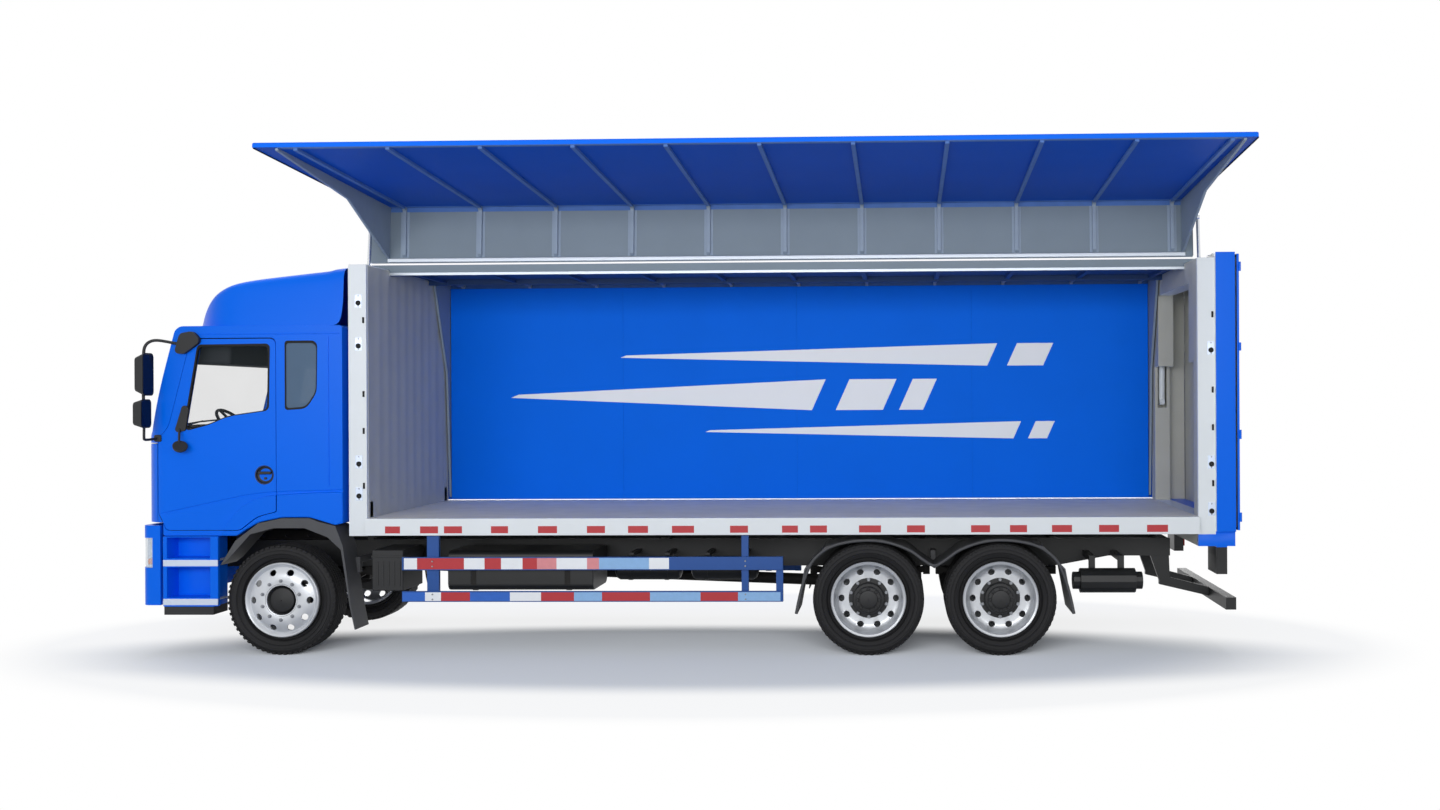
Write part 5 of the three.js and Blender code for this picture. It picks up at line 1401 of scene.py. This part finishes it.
REAR_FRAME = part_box("rear_frame")[0].x         # its face towards the load
LATCHES = {"front": (WALL_LOW.x + 0.105, 0.050, (3.552, 3.121, 1.939, 1.618)),
    "rear": (REAR_FRAME + 0.130, 0.015, (3.029, 1.908, 1.446))}
for end, (x, stop_at, heights) in LATCHES.items():
    for name, side in SIDES:
        y = MIDDLE + side * POST
        parts = []
        for z in heights:
            parts.append(painted(slab("latch_plate", (x - 0.035, y - side * 0.002, z - 0.065),
                (x + 0.035, y + side * 0.004, z + 0.065), 0.0015), bright_tread))
            parts.append(painted(
                turned("latch_cup", [(0.001, 0.005 * side), (0.021, 0.005 * side), (0.026, 0.0075 * side),
                (0.026, -0.004 * side), (0.001, -0.004 * side)], (x, y, z - 0.02), 20), seam_rubber))
            for dz in (-0.052, 0.052):
                parts.append(painted(sloped("latch_bolt", (x, y + side * 0.004, z + dz), (0, side, 0),
                    0.008, 0.004), nut_zinc))
        for z in (1.70, 2.25, 2.62, 3.36):
            parts.append(painted(slab("rubber_stop", (x + stop_at - 0.010, y - side * 0.002, z - 0.03),
                (x + stop_at + 0.010, y + side * 0.007, z + 0.03), 0.003), seam_rubber))
        finish(joined(f"post_latches_{end}_{name}", parts), None, "chassis")

# ---------------------------------------------------------------- rear frame
# Portal that the rear doors close: white posts and grey inside like the front wall, and a blue frame behind
# them with lamp boxes below. A blank plate hangs under the sill.
portal = painted(refined("rear_frame", azure_paint, 0.006, segments=2), box_white,
    grey_lining, chassis_black)
PORTAL = REAR_FRAME + 0.170
for place, normal in (((0, 0, 1.070), (0, 0, 1)), ((0, 0, 1.198), (0, 0, 1)),
        ((PORTAL - 0.0003, 0, 0), (1, 0, 0)), ((0, MIDDLE - POST + 0.045, 0), (0, 1, 0)),
        ((0, MIDDLE + POST - 0.045, 0), (0, 1, 0))):
    split_at(portal, place, normal)
for face in portal.data.polygons:
    out = (face.center.y - MIDDLE) * (1 if face.center.y > MIDDLE else -1)
    inward = face.normal.y * (1 if face.center.y > MIDDLE else -1) < -0.5
    if face.center.z < 1.070:
        face.material_index = 3
    elif face.center.z < 1.198 and out > 0.9:
        face.material_index = 0
    elif face.center.x < PORTAL:
        face.material_index = 2 if (face.normal.x < -0.5 or inward) and out < POST - 0.04 else 1
    else:
        face.material_index = 2 if inward or (face.normal.z < -0.5 and out < 1.1) else 0
parts = []
for name, side in SIDES:
    for y, lens in ((0.86, red_lens), (0.975, amber_lens), (1.09, red_lens)):
        parts.append(painted(slab("rear_lamp", (PORTAL + 0.108, MIDDLE + side * y - 0.050, 0.865),
            (PORTAL + 0.122, MIDDLE + side * y + 0.050, 1.005), 0.006, 3), lens))
finish(joined("rear_lamps", parts), None, "chassis")
finish(slab("rear_plate", (PORTAL + 0.030, MIDDLE - 0.22, 1.02), (PORTAL + 0.034, MIDDLE + 0.22, 1.16),
    0.001), plate_enamel, "chassis")
marks = [slab("mark", (PORTAL + 0.1895, MIDDLE + y - 0.10, 1.300 - 0.05),
    (PORTAL + 0.1903, MIDDLE + y + 0.10, 1.300), 0.0002, 1) for y in (-1.0, -0.6, -0.2, 0.2, 0.6, 1.0)]
finish(joined("sill_marks", marks), tape_red, "chassis")

# ---------------------------------------------------------------- rear doors
# Two steel-faced leaves with grey lining, each on four strap hinges, closed by a galvanised lock rod in
# five brackets, with a handle at waist height. A rubber seal runs round each leaf.
galvanised = coated("galvanised_steel", "A9B0B6", 0.42, metallic=0.65, mottle=0.14, mottle_mm=28,
    grain_mm=5, grain=0.05)
HINGES = ((1.20, 1.48), (2.13, 2.23), (3.00, 3.08), (3.76, 3.89))
for name, side in SIDES:
    low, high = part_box("rear_door_" + name)
    inner, outer = (low.y, high.y)[::side]
    back = low.x + 0.026
    leaf = painted(slab("rear_door_leaf_" + name, (low.x + 0.003, low.y, low.z), (back, high.y, high.z),
        0.003), azure_paint)
    board = painted(slab("door_lining", (low.x - 0.001, low.y + 0.028, low.z + 0.028),
        (low.x + 0.004, high.y - 0.028, high.z - 0.028), 0.001), grey_lining)
    parts = [leaf, board]
    for z0, z1 in ((low.z + 0.03, low.z + 0.11), ((low.z + high.z) / 2 - 0.03, (low.z + high.z) / 2 + 0.03),
            (high.z - 0.11, high.z - 0.03)):
        parts.append(painted(slab("door_rail", (back - 0.004, low.y + 0.03, z0),
            (back + 0.006, high.y - 0.03, z1), 0.004, 3), azure_paint))
    for low_z, high_z in HINGES:
        z = (max(low_z, low.z + 0.02) + high_z) / 2
        tall = min(0.045, (high_z - low_z) / 2)
        pin_y = outer + side * 0.004
        strap = painted(slab("hinge_strap", (back - 0.001, pin_y, z - tall * 0.7),
            (back + 0.008, pin_y - side * 0.24, z + tall * 0.7), 0.003), azure_paint)
        knuckle = turned("hinge_knuckle", [(0.001, -tall), (0.013, -tall), (0.014, -tall + 0.004),
            (0.014, tall - 0.004), (0.013, tall), (0.001, tall)], (0, 0, 0), 20)
        knuckle.data.transform(shift(back + 0.003, pin_y, z) @ swing(90, "X"))
        painted(knuckle, azure_paint)
        parts += [strap, knuckle]
        for dy in (0.06, 0.13, 0.20):
            parts.append(painted(sloped("hinge_bolt", (back + 0.008, pin_y - side * dy, z), (1, 0, 0),
                0.008, 0.005), nut_zinc))
    rod_y = inner + side * 0.16
    parts.append(painted(tube("lock_rod", [(back + 0.009, rod_y, low.z + 0.02),
        (back + 0.009, rod_y, high.z - 0.02)], 0.0085, 12), galvanised))
    for z in (low.z + 0.05, low.z + 0.62, low.z + 1.35, low.z + 2.05, high.z - 0.05):
        parts.append(painted(slab("rod_bracket", (back - 0.001, rod_y - 0.040, z - 0.022),
            (back + 0.012, rod_y + 0.040, z + 0.022), 0.004), galvanised))
    handle = slab("lock_handle", (back + 0.006, rod_y, low.z + 0.86),
        (back + 0.015, rod_y + side * 0.42, low.z + 0.90), 0.004)
    grip = slab("handle_keeper", (back - 0.001, rod_y + side * 0.36 - 0.03, low.z + 0.845),
        (back + 0.010, rod_y + side * 0.36 + 0.03, low.z + 0.915), 0.004)
    for part in (handle, grip):
        painted(part, galvanised)
    loops = [rounded([(low.y + by, low.z + by, 0.01), (high.y - by, low.z + by, 0.01),
        (high.y - by, high.z - by, 0.01), (low.y + by, high.z - by, 0.01)], 2) for by in (0.002, 0.026)]
    seal = painted(sheet("door_seal", loops, "X", low.x - 0.0005, low.x + 0.0045, 0.001), seam_rubber)
    finish(joined("rear_door_" + name + "_leaf", [*parts, handle, grip, seal]), None, "rear_door_" + name,
        ["rear_door_" + name])

# ---------------------------------------------------------------- roof
# Fixed middle of the roof in grey primed steel, stiffened by pressed beads across it, with an aluminium cap
# along each side that carries the wings' hinges.
roof_grey = coated("grey_primed_steel", "76848F", 0.50, metallic=0.1, specular=0.4, mottle=0.08,
    mottle_mm=420, grain_mm=5, grain=0.05)
extruded = coated("mill_finish_extrusion", "BFC7CF", 0.40, metallic=0.45, mottle=0.05,
    mottle_mm=200, grain_mm=5)
# Painted shade: a dark slate blue on the roof's underside and bows, standing in for the shade under the roof
# at the top of the load space.
ceiling_painted_shade = coated("slate_primer_under_the_roof", "2C4A7C", 0.55, specular=0.3, mottle=0.08,
    mottle_mm=420, grain_mm=5)
roof = painted(refined("roof_centre", roof_grey, 0.004, segments=2), ceiling_painted_shade)
low, high, middle = bounds_of("roof_centre")
# The faces under the roof and between its sides take the dark painted shade; the top stays grey.
for face in roof.data.polygons:
    if face.center.z < high.z - 0.045 and (face.normal.z < -0.5 or abs(face.center.y - middle.y) < 0.599):
        face.material_index = 1
beads = [slab("roof_bead", (x, low.y + 0.10, high.z - 0.004), (x + 0.030, high.y - 0.10, high.z + 0.006),
    0.004) for x in [low.x + 0.30 + 0.62 * i for i in range(14)]]
finish(joined("roof_beads", beads), roof_grey, "chassis")
caps = []
for name, side in SIDES:
    caps.append(slab("hinge_cap", (low.x + 0.19, MIDDLE + side * 0.600, high.z - 0.108),
        (high.x - 0.16, MIDDLE + side * 0.606, high.z - 0.080), 0.002, 2))
finish(joined("hinge_caps", caps), extruded, "chassis")

# ---------------------------------------------------------------- wings
# Each wing is a side and half of the roof in one: a steel-faced panel, blue outside and on the inside of
# its wall, grey under its roof, stiffened by eleven pressed ribs and closed at each end by a cheek plate.
joints = {joint["child"]: joint for joint in frame["joints"]}
HINGE_Z = joints["wing_right"]["pos_m"][2]
OPEN = math.radians(joints["wing_left"]["range_deg"][1])
WING_LOW, WING_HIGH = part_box("wing_left")
azure_lining = coated("azure_lining_enamel", "0450BE", 0.50, specular=0.1, mottle=0.06, mottle_mm=450,
    grain_mm=4, grain=0.04)
rib_grey = coated("grey_primed_ribs", "8A99AA", 0.50, metallic=0.10, specular=0.4, mottle=0.08,
    mottle_mm=150, grain_mm=4)
rib_blue = coated("azure_overspray_on_primed_ribs", "4C73B4", 0.50, specular=0.3, mottle=0.16,
    mottle_mm=120, grain_mm=4)
SKIN_Y = 0.640 - 0.013           # the skin lies in from the rails and latches that stand proud of it
ROOF_Z, WALL_Y, SKIN, FOOT = -0.005, 0.640, 0.050, -2.590      # from the hinge, wing closed
RIB_FIRST, RIB_LAST = WALL_HIGH.x + 0.195, REAR_FRAME - 0.135
RIBS = [RIB_FIRST + (RIB_LAST - RIB_FIRST) * i / 10 for i in range(11)]


def wing_sheet(name, points, start, end, steps=3):
    """A shape in a wing's cross-section, y outwards and z up from the hinge, carried along the truck."""
    return sheet(name, [rounded(points, steps)], "X", start, end)


skin = wing_sheet("wing_skin", [(0.010, ROOF_Z - SKIN, 0.004), (WALL_Y - SKIN, ROOF_Z - SKIN, 0.010),
    (WALL_Y - SKIN, FOOT, 0.004), (SKIN_Y, FOOT, 0.004), (SKIN_Y, ROOF_Z, 0.045), (0.010, ROOF_Z, 0.004)],
    WING_LOW.x, WING_HIGH.x, steps=8)
softened(skin, 0.003, 50)
painted(skin, azure_paint, azure_lining, roof_grey, extruded)
for face in skin.data.polygons:
    y, z = face.center.y, face.center.z
    if face.normal.y < -0.7 and y > 0.3:
        face.material_index = 1
    elif face.normal.z < -0.7 and z > -0.2:
        face.material_index = 2
    elif y < 0.03:
        face.material_index = 3
parts = [skin]
under = ROOF_Z - SKIN
face_y = WALL_Y - SKIN
for x in RIBS:
    web = wing_sheet("rib", [(0.060, under + 0.001, 0), (0.090, under - 0.030, 0.02),
        (face_y - 0.045, under - 0.030, 0.03), (face_y - 0.025, under - 0.060, 0.03),
        (face_y - 0.025, FOOT + 0.020, 0), (face_y + 0.001, FOOT + 0.020, 0),
        (face_y + 0.001, under + 0.001, 0)], x - 0.018, x + 0.018, steps=3)
    softened(web, 0.003, 50)
    flange = painted(slab("rib_flange", (x - 0.046, 0.060, under - 0.003),
        (x + 0.046, face_y, under + 0.001), 0.001, 1), rib_grey)
    split_at(web, (0, 0, under - 0.062), (0, 0, 1))
    painted(web, rib_grey, rib_blue)
    for face in web.data.polygons:
        face.material_index = 1 if face.center.z < under - 0.062 else 0
    parts += [web, flange]
CHEEK = [(0.040, under + 0.001, 0), (WALL_Y - 0.180, -1.100, 0.10), (face_y - 0.020, FOOT + 0.030, 0.02),
    (face_y + 0.001, FOOT + 0.030, 0), (face_y + 0.001, under + 0.001, 0)]
for x in (WALL_HIGH.x + 0.015, REAR_FRAME - 0.040):
    parts.append(painted(softened(wing_sheet("wing_cheek", CHEEK, x, x + 0.025), 0.004, 50), rib_grey))
EYE = (0.380, -0.250)
for x in ((WALL_LOW.x + WALL_HIGH.x) / 2 + 0.035, PORTAL - 0.085 - 0.035):
    lug = wing_sheet("ram_lug", [(EYE[0] - 0.150, under + 0.001, 0), (EYE[0] - 0.040, EYE[1] - 0.025, 0.03),
        (EYE[0] + 0.040, EYE[1] - 0.025, 0.03), (EYE[0] + 0.150, under + 0.001, 0)], x - 0.009, x + 0.009)
    softened(lug, 0.002, 50)
    painted(lug, box_white)
    parts.append(lug)
parts.append(painted(slab("hinge_rail", (WING_LOW.x + 0.19, 0.011, under - 0.026),
    (WING_HIGH.x - 0.08, 0.052, under + 0.001), 0.006, 3), extruded))
for name, y0, z0, y1, z1 in (("eaves_angle", face_y - 0.050, under - 0.004, face_y, under + 0.001),
        ("eaves_angle", face_y - 0.004, under - 0.050, face_y + 0.001, under),
        ("foot_angle", face_y - 0.004, FOOT + 0.004, face_y + 0.001, FOOT + 0.055)):
    angle = slab(name, (WALL_HIGH.x + 0.042, y0, z0), (REAR_FRAME - 0.042, y1, z1), 0.001, 1)
    parts.append(painted(angle, rib_blue))
# outside: pressed planks, a rail above the foot and five latches on it
for i in range(7):
    z = FOOT + 0.30 + 0.32 * i
    parts.append(painted(slab("plank_joint", (WING_LOW.x + 0.02, SKIN_Y - 0.002, z),
        (WING_HIGH.x - 0.02, SKIN_Y + 0.004, z + 0.012), 0.003), azure_paint))
parts.append(painted(slab("foot_rail", (WING_LOW.x + 0.005, SKIN_Y - 0.003, FOOT + 0.002),
    (WING_HIGH.x - 0.005, SKIN_Y + 0.006, FOOT + 0.085), 0.006, 3), azure_paint))
for x in (WING_LOW.x + 0.10, WING_LOW.x + 2.2, WING_LOW.x + 4.26, WING_LOW.x + 6.3, WING_HIGH.x - 0.10):
    plate = slab("wing_latch", (x - 0.045, SKIN_Y + 0.002, FOOT + 0.012),
        (x + 0.045, SKIN_Y + 0.008, FOOT + 0.078), 0.002)
    lever = slab("wing_latch_lever", (x - 0.030, SKIN_Y + 0.006, FOOT + 0.034),
        (x + 0.036, SKIN_Y + 0.0125, FOOT + 0.056), 0.002)
    for part in (plate, lever):
        painted(part, galvanised)
        parts.append(part)
for x in (WING_LOW.x - 0.004, WING_HIGH.x - 0.008):
    parts.append(
        painted(wing_sheet("wing_seal", [(0.02, under + 0.001, 0), (face_y - 0.008, under + 0.001, 0),
        (face_y - 0.008, FOOT + 0.01, 0), (face_y + 0.006, FOOT + 0.01, 0),
        (face_y + 0.006, under + 0.006, 0), (0.02, under + 0.006, 0)], x + 0.006, x + 0.012), seam_rubber))
right = joined("wing_right_panel", parts)
left = copied(right, "wing_left_panel", Matrix.Scale(-1, 4, (0, 1, 0)))
ACROSS_HINGE = {"right": shift(0, MIDDLE + 0.610, HINGE_Z), "left": shift(0, MIDDLE - 0.610, HINGE_Z)
    @ Matrix.Rotation(-OPEN, 4, "X")}
for name, wing in (("left", left), ("right", right)):
    wing.data.transform(ACROSS_HINGE[name])
    finish(wing, None, "wing_" + name, ["wing_" + name])

# ---------------------------------------------------------------- liner
# Smooth blue boards riveted over the ribs inside the right wing, with long white vinyl stripes laid on
# them.
azure_liner = coated("azure_faced_plywood", "0070F4", 0.48, specular=0.05, mottle=0.05, mottle_mm=700,
    grain_mm=4, grain=0.03)
white_vinyl = coated("white_vinyl_film", "F4F7FB", 0.40, mottle=0.02, mottle_mm=300, grain_mm=4, grain=0.03)
liner_y = MIDDLE + 0.610 + face_y - 0.029
x0, x1 = WALL_HIGH.x + 0.046, REAR_FRAME - 0.046
boards = []
for i in range(4):
    a, b = x0 + (x1 - x0) * i / 4, x0 + (x1 - x0) * (i + 1) / 4
    boards.append(slab("liner_board", (a + 0.0005, liner_y - 0.004, HINGE_Z + FOOT + 0.004),
        (b - 0.0005, liner_y, HINGE_Z + under - 0.066), 0.001, 1))
cove = slab("liner_cove", (x0, liner_y - 0.008, HINGE_Z + under - 0.075),
    (x1, liner_y, HINGE_Z + under - 0.050), 0.002)
finish(joined("wing_right_liner", [*boards, cove]), azure_liner, "wing_right")


def stripe(x, z, length, height, slant, taper):
    """A white stripe that leans forward and narrows to its front: one closed outline."""
    return [(x, z + height * (1 - taper) / 2), (x + length, z), (x + length + slant * height, z + height),
        (x + slant * height * (1 + taper) / 2, z + height * (1 + taper) / 2)]


stripes = []
for x, z, length, height, slant, taper in ((3.05, 2.42, 3.55, 0.36, 0.45, 0.10),
        (6.88, 2.42, 0.55, 0.36, 0.45, 1.0), (7.62, 2.42, 0.28, 0.36, 0.45, 1.0),
        (4.35, 2.93, 4.30, 0.26, 0.45, 0.10), (8.88, 2.93, 0.42, 0.26, 0.45, 1.0),
        (5.35, 2.08, 3.60, 0.20, 0.45, 0.10), (9.12, 2.08, 0.22, 0.20, 0.45, 1.0)):
    outline = [(NOSE + a, b) for a, b in stripe(x, z, length, height, slant, taper)]
    stripes.append(sheet("stripe", [outline], "Y", liner_y - 0.0052, liner_y - 0.0042))
finish(joined("liner_stripes", stripes), white_vinyl, "wing_right")

# ---------------------------------------------------------------- rams
# Hydraulic rams in pockets of the two end walls: white enamelled barrels with a turned gland, and chromed
# rods that end in an eye beside each wing's lug.
chromed = coated("hard_chromed_rod", "D6DADF", 0.14, metallic=0.95, mottle=0.02, mottle_mm=60,
    grain_mm=5, grain=0.02)
for end in ("front", "rear"):
    for name, side in SIDES:
        refined(f"ram_barrel_{end}_{name}", box_white, 0.003, angle=40)
        refined(f"ram_rod_{end}_{name}", chromed, 0.002, angle=40)

# ---------------------------------------------------------------- side guards
# Two boards along each side below the deck, bolted to hangers, painted dark blue and banded with reflective
# sheeting in red, white and two blues.
guard_blue = coated("dark_azure_enamel", "1C4E96", 0.42, specular=0.35, mottle=0.10, mottle_mm=180,
    grain_mm=4, grain=0.05)
tape_pink = coated("faded_red_sheeting", "DE8C90", 0.46, mottle=0.10, mottle_mm=50, grain_mm=4, grain=0.10)
tape_pale = coated("pale_blue_sheeting", "8DB9E6", 0.44, mottle=0.10, mottle_mm=50, grain_mm=4, grain=0.10)
tape_blue = coated("blue_reflective_sheeting", "1B62C4", 0.44, mottle=0.08, mottle_mm=50,
    grain_mm=4, grain=0.10)
BANDS = {(0.860, 0.983): [(2.672, 2.804, tape_white), (2.804, 3.277, tape_red), (3.277, 3.484, tape_white),
    (3.484, 3.650, tape_red), (3.650, 3.866, tape_white), (3.866, 4.011, tape_red),
    (4.011, 4.207, tape_pink), (4.207, 4.513, tape_white), (4.513, 4.633, tape_pink),
    (4.633, 5.133, tape_pale), (5.133, 5.332, tape_white)],
    (0.544, 0.642): [(2.655, 2.883, tape_blue), (2.883, 3.044, tape_white), (3.044, 3.336, tape_red),
    (3.336, 3.738, tape_blue), (3.738, 4.050, tape_white), (4.050, 4.381, tape_red),
    (4.381, 4.661, tape_pale), (4.661, 5.141, tape_red), (5.141, 5.645, tape_pale),
    (5.645, 6.018, tape_red), (6.018, 6.440, tape_pale)]}
for name, side in SIDES:
    refined("side_guard_" + name, guard_blue, 0.006, segments=2)
    skin = MIDDLE + side * 1.220
    bands = []
    for (z0, z1), run in BANDS.items():
        for a, b, material in run:
            bands.append(painted(slab("band", (NOSE + a, skin + side * 0.0002, z0 + 0.006),
                (NOSE + b, skin + side * 0.0012, z1 - 0.006), 0.0003, 1), material))
    for x in (2.958, 6.092):
        for z in (0.59, 0.92):
            for dz in (-0.025, 0.025):
                bands.append(painted(sloped("guard_bolt", (NOSE + x, skin + side * 0.001, z + dz),
                    (0, side, 0), 0.010, 0.007), nut_zinc))
    finish(joined("side_guard_bands_" + name, bands), None, "chassis")

# ---------------------------------------------------------------- mudguards
# Moulded black guards over the wheels, each with a
# rolled bead along its outer edge.
guard_black = coated("grained_guard_plastic", "4A4B4E", 0.55, specular=0.35, mottle=0.10,
    mottle_mm=120, grain_mm=2)
low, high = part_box("drive_wheels_left")
drive_x, tyre_top = (low.x + high.x) / 2, high.z
tag_x = sum(corner.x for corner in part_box("tag_wheels_left")) / 2
quarter = [(0.535, -0.151), (0.405, -0.051), (0.145, 0.037)]
outer_quarter = [(0.145, 0.037), (0.425, -0.031), (0.635, -0.251), (0.717, -0.690)]
edge = [(drive_x - dx, tyre_top + dz) for dx, dz in reversed(outer_quarter)]
edge += [(drive_x + dx, tyre_top + dz)
    for dx, dz in reversed(quarter)] + [((drive_x + tag_x) / 2, tyre_top - 0.231)]
edge += [(tag_x - dx, tyre_top + dz) for dx, dz in quarter] + [(tag_x + dx, tyre_top + dz)
    for dx, dz in outer_quarter]
for name, side in SIDES:
    for node, bevel in (("front_mudguard_", 0.012), ("rear_mudguard_", 0.004)):
        refined(node + name, guard_black, bevel, segments=3, angle=30)
    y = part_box("rear_mudguard_" + name)[0 if side < 0 else 1].y - side * 0.012
    finish(tube("rear_mudguard_bead_" + name, [(x, y, z) for x, z in edge], 0.016, 12, bend=1), guard_black,
        "chassis")

# ---------------------------------------------------------------- air reservoirs and silencer
# Two brake reservoirs with domed ends are strapped behind the left guard, and a boxed silencer with its
# tailpipe behind the right one.
stores = []
for x0 in (4.72, 5.50):
    x0 += NOSE
    run = [(0.004, 0), (0.060, 0.004), (0.100, 0.022), (0.120, 0.055), (0.120, 0.635), (0.100, 0.668),
        (0.060, 0.686), (0.004, 0.690)]
    store = turned("brake_reservoir", run, (0, 0, 0), 40)
    store.data.transform(shift(x0, MIDDLE - 0.86, 0.835) @ swing(-90, "Z"))
    stores.append(store)
    for x in (0.16, 0.53):
        strap = turned("reservoir_strap",
            [(0.1205, -0.020), (0.125, -0.020), (0.125, 0.020), (0.1205, 0.020)], (0, 0, 0), 40)
        strap.data.transform(shift(x0 + x, MIDDLE - 0.86, 0.835) @ swing(-90, "Z"))
        stores.append(strap)
        stores.append(slab("reservoir_arm", (x0 + x - 0.025, MIDDLE - 0.84, 0.945),
            (x0 + x + 0.025, MIDDLE - 0.43, 0.985), 0.004))
finish(joined("brake_reservoirs", stores), chassis_black, "chassis")
box = nose_slab("silencer_box", (3.05, 0.56, 0.60), (3.95, 1.12, 1.10), 0.060, 5)
hoops = [nose_slab("silencer_hoop", (x, 0.552, 0.592), (x + 0.05, 1.128, 1.108), 0.064, 5)
    for x in (3.22, 3.72)]
feet = [nose_slab("silencer_arm", (x, 0.43, 0.90), (x + 0.05, 0.60, 0.98), 0.004) for x in (3.22, 3.72)]
pipe = tube("tailpipe", [(NOSE + 3.90, MIDDLE + 0.84, 0.70), (NOSE + 4.12, MIDDLE + 0.84, 0.70),
    (NOSE + 4.30, MIDDLE + 0.86, 0.68), (NOSE + 4.40, MIDDLE + 1.06, 0.62)], 0.055, 20, bend=1)
finish(joined("silencer", [box, *hoops, *feet, pipe]), dusty_iron, "chassis")

# ---------------------------------------------------------------- sizes
# The box of the finished truck; the box of the frame as it came was taken at the start. Every added
# piece is meant to stay inside that first box.
low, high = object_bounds()
